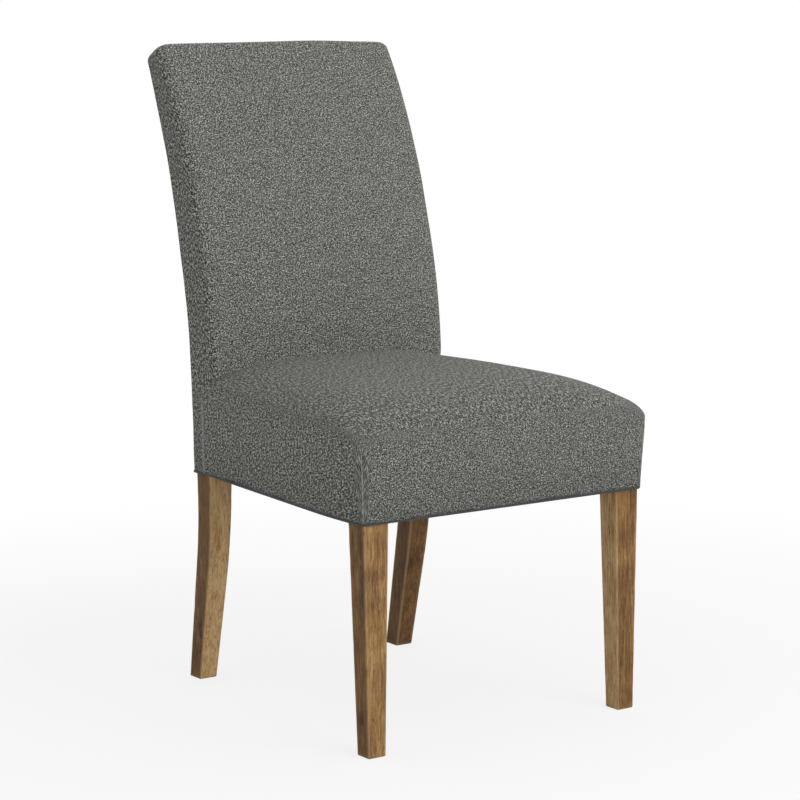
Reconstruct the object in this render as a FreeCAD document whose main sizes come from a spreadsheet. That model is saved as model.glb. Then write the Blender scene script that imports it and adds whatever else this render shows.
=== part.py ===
import FreeCAD, Part
import math
import os
import re
import Sketcher

from FreeCAD import Placement, Rotation, Vector

# Upholstered dining chair on a hardwood frame.
# Millimetres, +Z up, floor at Z = 0, the chair faces -Y, X = 0 is the plane of symmetry.
# The origin is on the floor under the middle of the chair's overall width and depth.

# Driving sizes: name, value, meaning.
SIZES = (
    # Front legs.
    ("leg_outer", 241.9, "front leg, outer face from the middle plane, at the hem"),
    ("leg_wide", 41.2, "front leg, width across at the hem"),
    ("leg_front", 312.5, "front leg, front face ahead of the origin, at the hem"),
    ("leg_deep", 39.0, "front leg, depth at the hem"),
    ("foot_size", 28.8, "front leg, square foot"),
    ("foot_outer_in", 5.7, "front leg, how far the outer face runs in by the floor"),
    ("foot_front_in", 1.0, "front leg, how far the front face runs back by the floor"),
    # Rear posts: leg and back upright sawn from one plank.
    ("post_outer", 208.0, "rear post, outer face from the middle plane"),
    ("post_wide", 40.0, "rear post, width across above the hem"),
    ("post_front", 159.3, "rear post, front face behind the origin, at the seat rails"),
    ("post_deep", 37.7, "rear post, depth at the seat rails"),
    ("post_foot_wide", 30.0, "rear post, width across at the floor"),
    ("post_foot_in", 7.8, "rear post, how far the outer face runs in by the floor"),
    ("sweep_front", 0.22, "rear leg, run back per height of the front edge"),
    ("sweep_rear", 0.182, "rear leg, run back per height of the rear edge"),
    ("sweep_front_low", 150.0, "rear leg, height where the front edge starts to curve"),
    ("sweep_front_high", 330.0, "rear leg, height where the front edge is upright"),
    ("sweep_rear_low", 195.0, "rear leg, height where the rear edge starts to curve"),
    ("sweep_rear_high", 310.0, "rear leg, height where the rear edge is upright"),
    ("rake_front_start", 430.0, "back, height where the front curve starts"),
    ("rake_rear_start", 380.0, "back, height where the rear curve starts"),
    ("post_front_radius", 1180.0, "rear post, radius of the front edge in the back"),
    ("post_top", 954.0, "rear post, height of the front top edge"),
    ("post_top_drop", 12.0, "rear post, how much lower the rear top edge is"),
    # Seat rails with their tenons.
    ("rail_low", 336.0, "seat rails, underside"),
    ("rail_tall", 76.0, "seat rails, height"),
    ("rail_thick", 22.0, "seat rails, thickness"),
    ("tenon_thick", 10.0, "tenons, thickness"),
    ("tenon_long", 18.0, "tenons, length"),
    ("tenon_shoulder", 12.0, "tenons, shoulder above and below"),
    ("tenon_cheek", 6.0, "tenons, distance from the rail's outer face"),
    ("joint_gap", 0.1, "clearance round a tenon or screw"),
    # Back rails.
    ("back_rail_thick", 20.0, "back rails, thickness"),
    ("back_rail_tall", 50.0, "lower and middle back rails, height"),
    ("crest_rail_tall", 60.0, "crest rail, height"),
    ("lower_rail_mid", 530.0, "lower back rail, height of its middle"),
    ("middle_rail_mid", 720.0, "middle back rail, height of its middle"),
    ("crest_below_top", 35.0, "crest rail, its middle below the posts' top"),
    ("back_tenon_long", 14.0, "back rails, tenon length"),
    ("back_tenon_shoulder", 8.0, "back rails, tenon shoulder above and below"),
    # Corner blocks and their coach screws.
    ("block_reach", 45.0, "corner blocks, length along the end rail"),
    ("block_tall", 44.0, "corner blocks, height"),
    ("block_low", 350.0, "corner blocks, underside"),
    ("screw_radius", 3.0, "coach screw, shank radius"),
    ("screw_in_leg", 24.0, "coach screw, length inside the leg"),
    ("screw_head", 10.0, "coach screw, head across flats"),
    ("screw_head_tall", 4.5, "coach screw, head height"),
    # Webbing and sheets.
    ("web_wide", 50.0, "webbing, width"),
    ("web_thick", 1.4, "webbing, thickness"),
    ("web_gap", 0.2, "webbing, clearance between crossing straps"),
    ("web_long_pitch", 84.0, "lengthwise seat straps, spacing"),
    ("web_cross_pitch", 118.0, "crosswise seat straps, spacing"),
    ("web_cross_mid", 45.0, "crosswise seat straps, middle strap ahead of the origin"),
    ("web_end", 6.0, "webbing, rail left bare beyond a strap's end"),
    ("back_web_low", 610.0, "lowest back strap, height"),
    ("back_web_pitch", 110.0, "back straps, spacing"),
    ("sheet_thick", 0.8, "decking and dust cover, thickness"),
    ("dust_edge", 8.0, "dust cover, rail left bare round it"),
    # Upholstery envelope.
    ("cover_thick", 2.0, "cover cloth"),
    ("pad_gap", 0.3, "clearance between the layers"),
    ("wadding_thick", 1.9, "wadding under the cover"),
    ("hem_low", 333.4, "cover, lower edge"),
    ("seat_lean", 8.0, "seat box, how far the front corners lean out"),
    ("seat_side_front", 437.0, "seat box, height of the widest line at the front"),
    ("seat_side_rear", 462.0, "seat box, height of the widest line at the back"),
    ("crown_front", 499.0, "seat, crown height at the front"),
    ("crown_rear", 503.0, "seat, crown height at the back"),
    ("shoulder_in", 35.0, "seat, run in of the rounded top edge"),
    ("shoulder_share", 0.73, "seat, share of the rise in the rounded top edge"),
    ("crown_in", 165.0, "seat, how far in the crown is level"),
    ("seat_bulge", 3.0, "seat, bow of the front face at the widest line"),
    ("hem_corner", 8.0, "seat, corner radius at the hem"),
    ("side_corner", 20.0, "seat, corner radius at the widest line"),
    ("crown_corner", 70.0, "seat, corner radius at the crown"),
    ("back_front", 127.5, "back, front face behind the origin"),
    ("back_front_radius", 1060.0, "back, radius of the front face in side view"),
    ("back_rear_radius", 1430.0, "back, radius of the rear face in side view"),
    ("strip_top", 446.0, "back, height where the side strip starts to widen"),
    ("tuck_top", 500.0, "back, height where the front face clears the seat"),
    ("back_top", 983.0, "back, height of the front face's end before its rounding"),
    ("back_top_drop", 22.0, "back, how much lower the rear face ends"),
    ("back_crown", 8.0, "back, bow of the front face across the width"),
    ("back_edge", 18.0, "back, radius of the front side edges"),
    ("back_rear_edge", 6.0, "back, radius of the rear side edges"),
    ("top_corner", 20.0, "back, radius of the top corners"),
    ("top_edge", 15.0, "back, rounding of the front top edge"),
    ("top_rear_edge", 7.0, "back, rounding of the rear top edge"),
    ("seam_in", 3.0, "outside back, seam ahead of the rear face"),
    # Welt round the hem.
    ("welt_radius", 1.8, "welt, radius"),
    ("welt_proud", 0.9, "welt, how far it stands out from the cover"),
)

doc = FreeCAD.newDocument("DiningChair")
sheet = doc.addObject("Spreadsheet::Sheet", "Sizes")
for row, (alias, amount, meaning) in enumerate(SIZES, start=1):
    sheet.set(f"A{row}", meaning)
    sheet.set(f"B{row}", str(amount))
    sheet.setAlias(f"B{row}", alias)
doc.recompute()

ALIASES = {alias for alias, _, _ in SIZES}
PARTS = []


def size(alias):
    """Value of one driving size."""
    return float(getattr(sheet, alias))


def bind(text):
    """Expression with every size's name led by the sheet's."""
    return re.sub(r"[a-z_]+", lambda m: f"Sizes.{m.group()}" if m.group() in ALIASES else m.group(), text)


def keep(label, thing):
    """Label a finished sub-part and remember it."""
    thing.Label = label
    PARTS.append(thing)
    return thing


# Expressions shared by pieces that meet.
COVER_OUT = "(cover_thick + wadding_thick + 2*pad_gap)"
LEG_INNER = "(leg_outer - leg_wide)"
LEG_REAR = "(-leg_front + leg_deep)"
POST_INNER = "(post_outer - post_wide)"
POST_REAR = "(post_front + post_deep)"
RAIL_TOP = "(rail_low + rail_tall)"
SIDE_SLOPE = f"((leg_outer - post_outer)/(post_front - {LEG_REAR}))"
TENON_LOW = "(rail_low + tenon_shoulder)"
TENON_TALL = "(rail_tall - 2*tenon_shoulder)"

# Overruns of the cutting sketches, and of a tenon's root into its rail.
SLOT_RUN = "3"
TENON_ROOT = "5"
TAPER_CLEAR = "12"
BELOW_FLOOR = "-5"
THROUGH = "2000"
HOLE_RUN = "1"
LEAST_CUT = 1.0


# Sketch helpers.

def rectangle(x0, x1, y0, y1):
    return [(x0, y0), (x1, y0), (x1, y1), (x0, y1)]


def sketch_on(body, name, role, level="0"):
    """Empty sketch on one of the body's origin planes, raised to a level."""
    sketch = body.newObject("Sketcher::SketchObject", name)
    plane = next(f for f in body.Origin.OriginFeatures if f.Role == role)
    sketch.AttachmentSupport = [(plane, "")]
    sketch.MapMode = "FlatFace"
    sketch.setExpression("AttachmentOffset.Base.z", bind(level))
    return sketch


def polygon(sketch, points, arcs=None):
    """Closed outline whose corners are bound; arcs maps an edge to its centre's level."""
    arcs = arcs or {}
    bound = [(bind(x), bind(y)) for x, y in points]
    at = [tuple(float(sketch.evalExpression(part)) for part in pair) for pair in bound]
    first = sketch.GeometryCount
    count = len(at)
    for i, here in enumerate(at):
        there = at[(i + 1) % count]
        start = Vector(*here, 0)
        end = Vector(*there, 0)
        if i in arcs:
            level = float(sketch.evalExpression(bind(arcs[i])))
            middle = (start + end) / 2
            across = (end - start).cross(Vector(0, 0, 1))
            centre = middle + across * ((level - middle.y) / across.y)
            radius = (start - centre).Length
            crest = centre + (middle - centre).normalize() * radius
            sketch.addGeometry(Part.Arc(start, crest, end))
        else:
            sketch.addGeometry(Part.LineSegment(start, end))
    for i, pair in enumerate(at):
        edge = first + i
        ends = {}
        for number in (1, 2):
            point = sketch.getPoint(edge, number)
            ends[number] = (point - Vector(*pair, 0)).Length
        near = min(ends, key=ends.get)
        before = first + (i - 1) % count
        gaps = {n: (sketch.getPoint(before, n) - Vector(*pair, 0)).Length for n in (1, 2)}
        sketch.addConstraint(Sketcher.Constraint("Coincident", before, min(gaps, key=gaps.get), edge, near))
        for kind, place, text in zip(("DistanceX", "DistanceY"), pair, bound[i]):
            number = sketch.addConstraint(Sketcher.Constraint(kind, -1, 1, edge, near, place))
            sketch.setExpression(f"Constraints[{number}]", text)
        if i in arcs:
            level = float(sketch.evalExpression(bind(arcs[i])))
            number = sketch.addConstraint(Sketcher.Constraint("DistanceY", -1, 1, edge, 3, level))
            sketch.setExpression(f"Constraints[{number}]", bind(arcs[i]))
    return sketch


def pad(body, name, sketch, length, middle=False, down=False):
    feature = body.newObject("PartDesign::Pad", name)
    feature.Profile = sketch
    feature.setExpression("Length", bind(length))
    feature.Midplane = middle
    feature.Reversed = down
    doc.recompute()
    return feature


def pocket(body, name, sketch, length, middle=False, turned=False):
    """Pocket that has to take something away."""
    before = body.Shape.Volume
    feature = body.newObject("PartDesign::Pocket", name)
    feature.Profile = sketch
    feature.setExpression("Length", bind(length))
    feature.Midplane = middle
    feature.Reversed = turned
    doc.recompute()
    if body.Shape.Volume > before - LEAST_CUT:
        raise RuntimeError(f"{body.Name}: {name} cuts nothing")
    return feature


def new_body(label):
    return keep(label, doc.addObject("PartDesign::Body", "".join(w.title() for w in label.split("_"))))


# Joints of the frame.

def front_tenon(sign):
    """Plan of the front rail's tenon in a front leg."""
    low = "(-leg_front + tenon_cheek)"
    return (
        f"{sign}*{LEG_INNER}",
        f"{sign}*({LEG_INNER} + tenon_long)",
        low,
        f"({low} + tenon_thick)",
    )


def side_front_tenon(sign):
    """Plan of a side rail's tenon in its front leg."""
    return (
        f"{sign}*(leg_outer - tenon_cheek - tenon_thick)",
        f"{sign}*(leg_outer - tenon_cheek)",
        f"({LEG_REAR} - tenon_long)",
        LEG_REAR,
    )


def side_rear_tenon(sign):
    """Plan of a side rail's tenon in its rear post."""
    return (
        f"{sign}*(post_outer - tenon_cheek - tenon_thick)",
        f"{sign}*(post_outer - tenon_cheek)",
        "post_front",
        "(post_front + tenon_long)",
    )


def rear_tenon(sign):
    """Plan of the rear rail's tenon in a rear post."""
    high = f"({POST_REAR} - tenon_cheek)"
    return (
        f"{sign}*{POST_INNER}",
        f"{sign}*({POST_INNER} + tenon_long)",
        f"({high} - tenon_thick)",
        high,
    )


def mortise(sign, plan, open_side):
    """Plan of the slot for a tenon: the tenon with its clearance, run out through the open side."""
    x0, x1, y0, y1 = plan
    run = SLOT_RUN
    inner = run if open_side == "x" else "joint_gap"
    front = run if open_side == "front" else "joint_gap"
    rear = run if open_side == "rear" else "joint_gap"
    return rectangle(f"{x0} - ({sign})*{inner}", f"{x1} + ({sign})*joint_gap",
                     f"{y0} - {front}", f"{y1} + {rear}")


def tenon(plan, root, axis):
    """Plan of a tenon whose root reaches back into its rail."""
    x0, x1, y0, y1 = plan
    if axis == "x":
        return rectangle(f"{x0} - ({root})*{TENON_ROOT}", x1, y0, y1)
    if axis == "front":
        return rectangle(x0, x1, y0, f"{y1} + {TENON_ROOT}")
    return rectangle(x0, x1, f"{y0} - {TENON_ROOT}", y1)


def screw_seat(body, name, sign, x, y, toward):
    """Sketch of a coach screw's hole, square across the corner of a leg."""
    sketch = body.newObject("Sketcher::SketchObject", name)
    plane = next(f for f in body.Origin.OriginFeatures if f.Role == "XY_Plane")
    sketch.AttachmentSupport = [(plane, "")]
    sketch.MapMode = "FlatFace"
    normal = Vector(-sign, toward, 0)
    sketch.AttachmentOffset = Placement(Vector(0, 0, 0), Rotation(Vector(0, 0, 1), normal))
    sketch.setExpression("AttachmentOffset.Base.x", bind(f"{sign}*{x}"))
    sketch.setExpression("AttachmentOffset.Base.y", bind(y))
    sketch.setExpression("AttachmentOffset.Base.z", bind("block_low + block_tall/2"))
    sketch.addGeometry(Part.Circle(Vector(0, 0, 0), Vector(0, 0, 1), size("screw_radius")))
    sketch.addConstraint(Sketcher.Constraint("Coincident", -1, 1, 0, 3))
    number = sketch.addConstraint(Sketcher.Constraint("Radius", 0, size("screw_radius")))
    sketch.setExpression(f"Constraints[{number}]", bind("screw_radius + joint_gap"))
    return sketch


SIDES = (("left", -1), ("right", 1))


# Front legs.

for side, sign in SIDES:
    leg = new_body(f"front_leg_{side}")
    foot = sketch_on(leg, "Foot", "XY_Plane")
    foot_outer = "(leg_outer - foot_outer_in)"
    foot_front = "(-leg_front + foot_front_in)"
    polygon(foot, rectangle(f"{sign}*({foot_outer} - foot_size)", f"{sign}*{foot_outer}",
                            foot_front, f"{foot_front} + foot_size"))
    knee = sketch_on(leg, "Knee", "XY_Plane", "hem_low")
    knee_plan = rectangle(f"{sign}*{LEG_INNER}", f"{sign}*leg_outer", "-leg_front", LEG_REAR)
    polygon(knee, knee_plan)
    taper = leg.newObject("PartDesign::AdditiveLoft", "Taper")
    taper.Profile = foot
    taper.Sections = [knee]
    taper.Ruled = True
    doc.recompute()
    block = sketch_on(leg, "Block", "XY_Plane", "hem_low")
    polygon(block, knee_plan)
    pad(leg, "RailBlock", block, f"{RAIL_TOP} - hem_low")
    slots = sketch_on(leg, "Slots", "XY_Plane", f"{TENON_LOW} - joint_gap")
    polygon(slots, mortise(sign, front_tenon(sign), "x"))
    polygon(slots, mortise(sign, side_front_tenon(sign), "rear"))
    pocket(leg, "Mortises", slots, f"{TENON_TALL} + 2*joint_gap", turned=True)
    seat = screw_seat(leg, "ScrewSeat", sign, LEG_INNER, LEG_REAR, 1)
    pocket(leg, "ScrewHole", seat, f"screw_in_leg + {HOLE_RUN}")


# Rear posts.

def drift(start, slope, low, high):
    """Where a leg edge stands at the floor: a straight run and a tangent arc below the upright part."""
    return f"({start} + {slope}*{low} + ({high} - {low})*tan(atan({slope})/2))"


def on_arc(start, radius, rise):
    """Where a raked edge stands at a rise above the start of its curve."""
    return f"({start} + {radius} - sqrt(({radius})^2 - ({rise})^2))"


POST_REAR_RADIUS = f"(back_rear_radius + {COVER_OUT})"


def post_front_at(level):
    return on_arc("post_front", "post_front_radius", f"{level} - rake_front_start")


def post_rear_at(level):
    return on_arc(POST_REAR, POST_REAR_RADIUS, f"{level} - rake_rear_start")


def back_rail_frame(middle, tall):
    """Middle and rake of a back rail between the posts' front and rear edges."""
    y = f"(({post_front_at(middle)} + {post_rear_at(middle)})/2)"
    front = f"asin(({middle} - rake_front_start)/post_front_radius)"
    rear = f"asin(({middle} - rake_rear_start)/{POST_REAR_RADIUS})"
    return y, middle, f"(-({front} + {rear})/2)", tall


BACK_RAILS = {
    "lower_back_rail": back_rail_frame("lower_rail_mid", "back_rail_tall"),
    "middle_back_rail": back_rail_frame("middle_rail_mid", "back_rail_tall"),
    "crest_rail": back_rail_frame("(post_top - crest_below_top)", "crest_rail_tall"),
}


def raked_sketch(body, name, frame, thick, tall):
    """Rectangle across the thickness of the back, turned to the rake."""
    y, z, angle, _ = frame
    sketch = body.newObject("Sketcher::SketchObject", name)
    plane = next(f for f in body.Origin.OriginFeatures if f.Role == "YZ_Plane")
    sketch.AttachmentSupport = [(plane, "")]
    sketch.MapMode = "FlatFace"
    sketch.setExpression("AttachmentOffset.Base.x", bind(y))
    sketch.setExpression("AttachmentOffset.Base.y", bind(z))
    sketch.setExpression("AttachmentOffset.Rotation.Angle", bind(angle))
    polygon(sketch, rectangle(f"-({thick})/2", f"({thick})/2", f"-({tall})/2", f"({tall})/2"))
    return sketch


for side, sign in SIDES:
    post = new_body(f"rear_post_{side}")
    outline = sketch_on(post, "SideView", "YZ_Plane", f"{sign}*(post_outer - post_wide/2)")
    rear_top = "(post_top - post_top_drop)"
    points = [
        (drift("post_front", "sweep_front", "sweep_front_low", "sweep_front_high"), "0"),
        ("post_front + (sweep_front_high - sweep_front_low)*tan(atan(sweep_front)/2)", "sweep_front_low"),
        ("post_front", "sweep_front_high"),
        ("post_front", "rake_front_start"),
        (post_front_at("post_top"), "post_top"),
        (post_rear_at(rear_top), rear_top),
        (POST_REAR, "rake_rear_start"),
        (POST_REAR, "sweep_rear_high"),
        (f"{POST_REAR} + (sweep_rear_high - sweep_rear_low)*tan(atan(sweep_rear)/2)", "sweep_rear_low"),
        (drift(POST_REAR, "sweep_rear", "sweep_rear_low", "sweep_rear_high"), "0"),
    ]
    arcs = {1: "sweep_front_high", 3: "rake_front_start", 5: "rake_rear_start", 7: "sweep_rear_high"}
    polygon(outline, points, arcs)
    pad(post, "Plank", outline, "post_wide", middle=True)
    cuts = sketch_on(post, "Taper", "XZ_Plane")
    outer = f"{sign}*post_outer"
    inner = f"{sign}*{POST_INNER}"
    clear = f"{sign}*{TAPER_CLEAR}"
    foot_outer = f"{sign}*(post_outer - post_foot_in)"
    foot_inner = f"{sign}*(post_outer - post_foot_in - post_foot_wide)"
    polygon(cuts, [(outer, "hem_low"), (foot_outer, "0"), (foot_outer, BELOW_FLOOR),
                   (f"{outer} + {clear}", BELOW_FLOOR), (f"{outer} + {clear}", "hem_low")])
    polygon(cuts, [(inner, "hem_low"), (foot_inner, "0"), (foot_inner, BELOW_FLOOR),
                   (f"{inner} - {clear}", BELOW_FLOOR), (f"{inner} - {clear}", "hem_low")])
    pocket(post, "LegTaper", cuts, THROUGH, middle=True)
    slots = sketch_on(post, "Slots", "XY_Plane", f"{TENON_LOW} - joint_gap")
    polygon(slots, mortise(sign, side_rear_tenon(sign), "front"))
    polygon(slots, mortise(sign, rear_tenon(sign), "x"))
    pocket(post, "Mortises", slots, f"{TENON_TALL} + 2*joint_gap", turned=True)
    for name, frame in BACK_RAILS.items():
        slot = raked_sketch(post, f"{name.title().replace('_', '')}Slot", frame,
                            "tenon_thick + 2*joint_gap",
                            f"{frame[3]} - 2*back_tenon_shoulder + 2*joint_gap")
        pocket(post, f"{name.title().replace('_', '')}Mortise", slot,
               f"2*({POST_INNER} + back_tenon_long + joint_gap)", middle=True)
    seat = screw_seat(post, "ScrewSeat", sign, POST_INNER, "post_front", -1)
    pocket(post, "ScrewHole", seat, f"screw_in_leg + {HOLE_RUN}")


# Seat rails.

def plan_rail(label, outline, tenons):
    rail = new_body(label)
    plank = sketch_on(rail, "Plan", "XY_Plane", "rail_low")
    polygon(plank, outline)
    pad(rail, "Board", plank, "rail_tall")
    ends = sketch_on(rail, "TenonPlan", "XY_Plane", TENON_LOW)
    for plan in tenons:
        polygon(ends, plan)
    pad(rail, "Tenons", ends, TENON_TALL)
    return rail


plan_rail("front_seat_rail",
          rectangle(f"-{LEG_INNER}", LEG_INNER, "-leg_front", "-leg_front + rail_thick"),
          [tenon(front_tenon(sign), sign, "x") for _, sign in SIDES])
plan_rail("rear_seat_rail",
          rectangle(f"-{POST_INNER}", POST_INNER, f"{POST_REAR} - rail_thick", POST_REAR),
          [tenon(rear_tenon(sign), sign, "x") for _, sign in SIDES])
for side, sign in SIDES:
    plan_rail(f"side_seat_rail_{side}",
              [(f"{sign}*(leg_outer - rail_thick)", LEG_REAR), (f"{sign}*leg_outer", LEG_REAR),
               (f"{sign}*post_outer", "post_front"), (f"{sign}*(post_outer - rail_thick)", "post_front")],
              [tenon(side_front_tenon(sign), sign, "front"), tenon(side_rear_tenon(sign), sign, "rear")])


# Back rails.

for name, frame in BACK_RAILS.items():
    rail = new_body(name)
    board = raked_sketch(rail, "Section", frame, "back_rail_thick", frame[3])
    pad(rail, "Board", board, f"2*{POST_INNER}", middle=True)
    ends = raked_sketch(rail, "TenonSection", frame, "tenon_thick", f"{frame[3]} - 2*back_tenon_shoulder")
    pad(rail, "Tenons", ends, f"2*({POST_INNER} + back_tenon_long)", middle=True)


# Corner blocks.

def side_face(level):
    """Inner face of a side rail at a depth."""
    return f"(leg_outer - rail_thick - {SIDE_SLOPE}*(({level}) - {LEG_REAR}))"


CORNERS = {
    "front": (LEG_INNER, LEG_REAR, "(-leg_front + rail_thick)", 1),
    "rear": (POST_INNER, "post_front", f"({POST_REAR} - rail_thick)", -1),
}


def block_run(inner, rail_face, toward):
    """Length along each axis of the block's slanted face, up to the side rail."""
    start = f"({inner} - block_reach)"
    return f"(({side_face(rail_face)} - {start})/(1 + ({toward})*{SIDE_SLOPE}))"


for end, (inner, corner, rail_face, toward) in CORNERS.items():
    for side, sign in SIDES:
        block = new_body(f"corner_block_{end}_{side}")
        run = block_run(inner, rail_face, toward)
        plan = sketch_on(block, "Plan", "XY_Plane", "block_low")
        start = f"({inner} - block_reach)"
        far = f"({rail_face} + ({toward})*{run})"
        polygon(plan, [(f"{sign}*{inner}", rail_face), (f"{sign}*{start}", rail_face),
                       (f"{sign}*({start} + {run})", far),
                       (f"{sign}*{side_face(corner)}", corner), (f"{sign}*{inner}", corner)])
        pad(block, "Wedge", plan, "block_tall")
        seat = screw_seat(block, "ScrewSeat", sign, inner, corner, toward)
        pocket(block, "ScrewHole", seat, "block_reach*4", middle=True)


# Values for the shapes made in code.

def value(text):
    """Number of an expression over the sheet."""
    return float(sheet.evalExpression(text))


def solid_part(label, shape):
    """Sub-part whose form is made from the sheet's sizes in code."""
    feature = doc.addObject("Part::Feature", "".join(w.title() for w in label.split("_")))
    feature.Shape = shape
    feature.Placement = Placement(Vector(0, 0, 0), Rotation())
    return keep(label, feature)


# Hexagon-headed coach screws, one in each corner block.
HEAD_SIDES = 6
screws = []
for end, (inner, corner, rail_face, toward) in CORNERS.items():
    run = value(block_run(inner, rail_face, toward))
    start = value(f"{inner} - block_reach")
    for side, sign in SIDES:
        corner_at = Vector(sign * value(inner), value(corner), size("block_low") + size("block_tall") / 2)
        axis = Vector(-sign, toward, 0).normalize()
        face_at = Vector(sign * start, value(rail_face), corner_at.z)
        seat_at = corner_at + axis * (face_at - corner_at).dot(axis)
        shank_start = corner_at - axis * size("screw_in_leg")
        length = (seat_at - shank_start).Length
        shank = Part.makeCylinder(size("screw_radius"), length, shank_start, axis)
        radius = size("screw_head") / math.sqrt(3)
        across = axis.cross(Vector(0, 0, 1))
        turns = [math.tau * k / HEAD_SIDES for k in range(HEAD_SIDES + 1)]
        rim = [seat_at + (across * math.cos(turn) + Vector(0, 0, 1) * math.sin(turn)) * radius for turn in turns]
        head = Part.Face(Part.makePolygon(rim)).extrude(axis * size("screw_head_tall"))
        screws.append(shank.fuse(head).removeSplitter())
solid_part("corner_block_screws", Part.makeCompound(screws))


# Webbing.

LONG_COUNT = 4
CROSS_COUNT = 3
BACK_COUNT = 3
STRAP_LIFT = "3*web_gap"

TOP = value(RAIL_TOP)
WEB = size("web_thick")
GAP = size("web_gap")
HALF_WEB = size("web_wide") / 2
LONG_X = [size("web_long_pitch") * (i - (LONG_COUNT - 1) / 2) for i in range(LONG_COUNT)]
CROSS_Y = [-size("web_cross_mid") + size("web_cross_pitch") * (i - (CROSS_COUNT - 1) / 2)
           for i in range(CROSS_COUNT)]

for i, x in enumerate(LONG_X, start=1):
    strap = keep(f"seat_web_long_{i}", doc.addObject("Part::Box", f"SeatWebLong{i}"))
    strap.setExpression("Length", bind("web_wide"))
    strap.setExpression("Width", bind(f"leg_front + {POST_REAR} - 2*web_end"))
    strap.setExpression("Height", bind("web_thick"))
    strap.setExpression("Placement.Base.x", bind(f"web_long_pitch*{i - 1 - (LONG_COUNT - 1) / 2} - web_wide/2"))
    strap.setExpression("Placement.Base.y", bind("-leg_front + web_end"))
    strap.setExpression("Placement.Base.z", bind(f"{RAIL_TOP} + web_gap"))


def ribbon(path, wide_from, wide_to):
    """Strap of even thickness over a path of (x, z) points, as wide as the two depths."""
    low = [Vector(x, wide_from, z) for x, z in path]
    high = [Vector(x, wide_from, z + WEB) for x, z in reversed(path)]
    loop = low + high + low[:1]
    return Part.Face(Part.makePolygon(loop)).extrude(Vector(0, wide_to - wide_from, 0))


# Crosswise straps run over one lengthwise strap and under the next.
for j, y in enumerate(CROSS_Y, start=1):
    edge = value(f"leg_outer - {SIDE_SLOPE}*(({y + HALF_WEB}) - {LEG_REAR})") - size("web_end")
    inner_edge = edge + size("web_end") - size("rail_thick")
    path = [(-edge, TOP + GAP), (-inner_edge, TOP + GAP)]
    for i, x in enumerate(LONG_X):
        over = (i + j) % 2 == 0
        level = TOP + 2 * GAP + WEB if over else TOP - WEB
        path.append((x - HALF_WEB - 2 * WEB, level))
        path.append((x + HALF_WEB + 2 * WEB, level))
    path.append((inner_edge, TOP + GAP))
    path.append((edge, TOP + GAP))
    solid_part(f"seat_web_cross_{j}", ribbon(path, y - HALF_WEB, y + HALF_WEB))

# Back straps lie on the posts' front edges.
for i in range(1, BACK_COUNT + 1):
    strap = keep(f"back_web_{i}", doc.addObject("Part::Box", f"BackWeb{i}"))
    level = f"(back_web_low + back_web_pitch*{i - 1})"
    angle = f"asin(({level} - rake_front_start)/post_front_radius)"
    strap.setExpression("Length", bind("2*(post_outer - web_end)"))
    strap.setExpression("Width", bind("web_thick"))
    strap.setExpression("Height", bind("web_wide"))
    strap.setExpression("Placement.Base.x", bind("-(post_outer - web_end)"))
    strap.setExpression("Placement.Base.y", bind(
        f"{post_front_at(level)} - (web_thick + {STRAP_LIFT})*cos({angle}) - web_wide/2*sin({angle})"))
    strap.setExpression("Placement.Base.z", bind(
        f"{level} + (web_thick + {STRAP_LIFT})*sin({angle}) - web_wide/2*cos({angle})"))
    strap.Placement.Rotation.Axis = Vector(-1, 0, 0)
    strap.setExpression("Placement.Rotation.Angle", bind(angle))


# Decking and dust cover.

deck = new_body("seat_decking")
plan = sketch_on(deck, "Plan", "XY_Plane", f"{RAIL_TOP} + 2*web_thick + {STRAP_LIFT}")
polygon(plan, [("-leg_outer + web_end", "-leg_front + web_end"),
               ("leg_outer - web_end", "-leg_front + web_end"),
               ("post_outer - web_end", "post_front - pad_gap"),
               ("-post_outer + web_end", "post_front - pad_gap")])
pad(deck, "Cloth", plan, "sheet_thick")

dust = new_body("dust_cover")
plan = sketch_on(dust, "Plan", "XY_Plane", "rail_low - web_gap - sheet_thick")
front_in = f"({LEG_INNER} - pad_gap)"
rear_in = f"({POST_INNER} - pad_gap)"
dust_rear = f"({POST_REAR} - dust_edge)"
dust_points = [(front_in, "-leg_front + dust_edge"), (front_in, f"{LEG_REAR} + pad_gap"),
               ("leg_outer - dust_edge", f"{LEG_REAR} + pad_gap"),
               ("post_outer - dust_edge", "post_front - pad_gap"),
               (rear_in, "post_front - pad_gap"), (rear_in, dust_rear)]
polygon(plan, dust_points + [(f"-({x})", y) for x, y in reversed(dust_points)])
pad(dust, "Cloth", plan, "sheet_thick")


# Upholstery envelope.

OUT = value(COVER_OUT)
HEM_FRONT = -size("leg_front") - OUT
HEM_HALF = size("leg_outer") + OUT
BEND = value(LEG_REAR)
STRIP = size("post_front") - size("pad_gap")
BACK_HALF = size("post_outer") + OUT
BACK_REAR = value(POST_REAR) + OUT

# How the soft forms are drawn: turns in degrees, shares, bows and least sizes.
SEAT_PAST = 12.0
PAST = STRIP + SEAT_PAST
SHOULDER_TURNS = (0, 24, 48, 72)
CORNER_FULL_TURN = 130
CROWN_SHARES = (0.1, 0.3, 0.6, 1.0)
CROWN_STEEP = 5.2
HEM_BOW = 0.6
STRIP_BOW = 0.4
STRIP_EDGE = 0.3
TUCK_SHARES = (0.0, 0.15, 0.3, 0.5, 0.75, 1.0)
PLAIN_TUCK_SHARES = (0.0, 0.35, 1.0)
SWEEP_COUNT = 7
TOP_TURNS = (22, 45, 68, 90)
PLAIN_TOP_TURNS = (45, 90)
SIDE_AHEAD = 2.0
LEAST_TURN = 2.0
LEAST_REAR_TURN = 1.0
LEAST_TOP_TURN = 3.0
LEAST_FLAT = 1.0
LEAST_FRONT = 15.0


def closed_form(wires):
    """Solid with straight sides from each outline to the next."""
    form = Part.makeLoft(wires, True, True)
    if form.Volume < 0:
        form.reverse()
    return form


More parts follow.
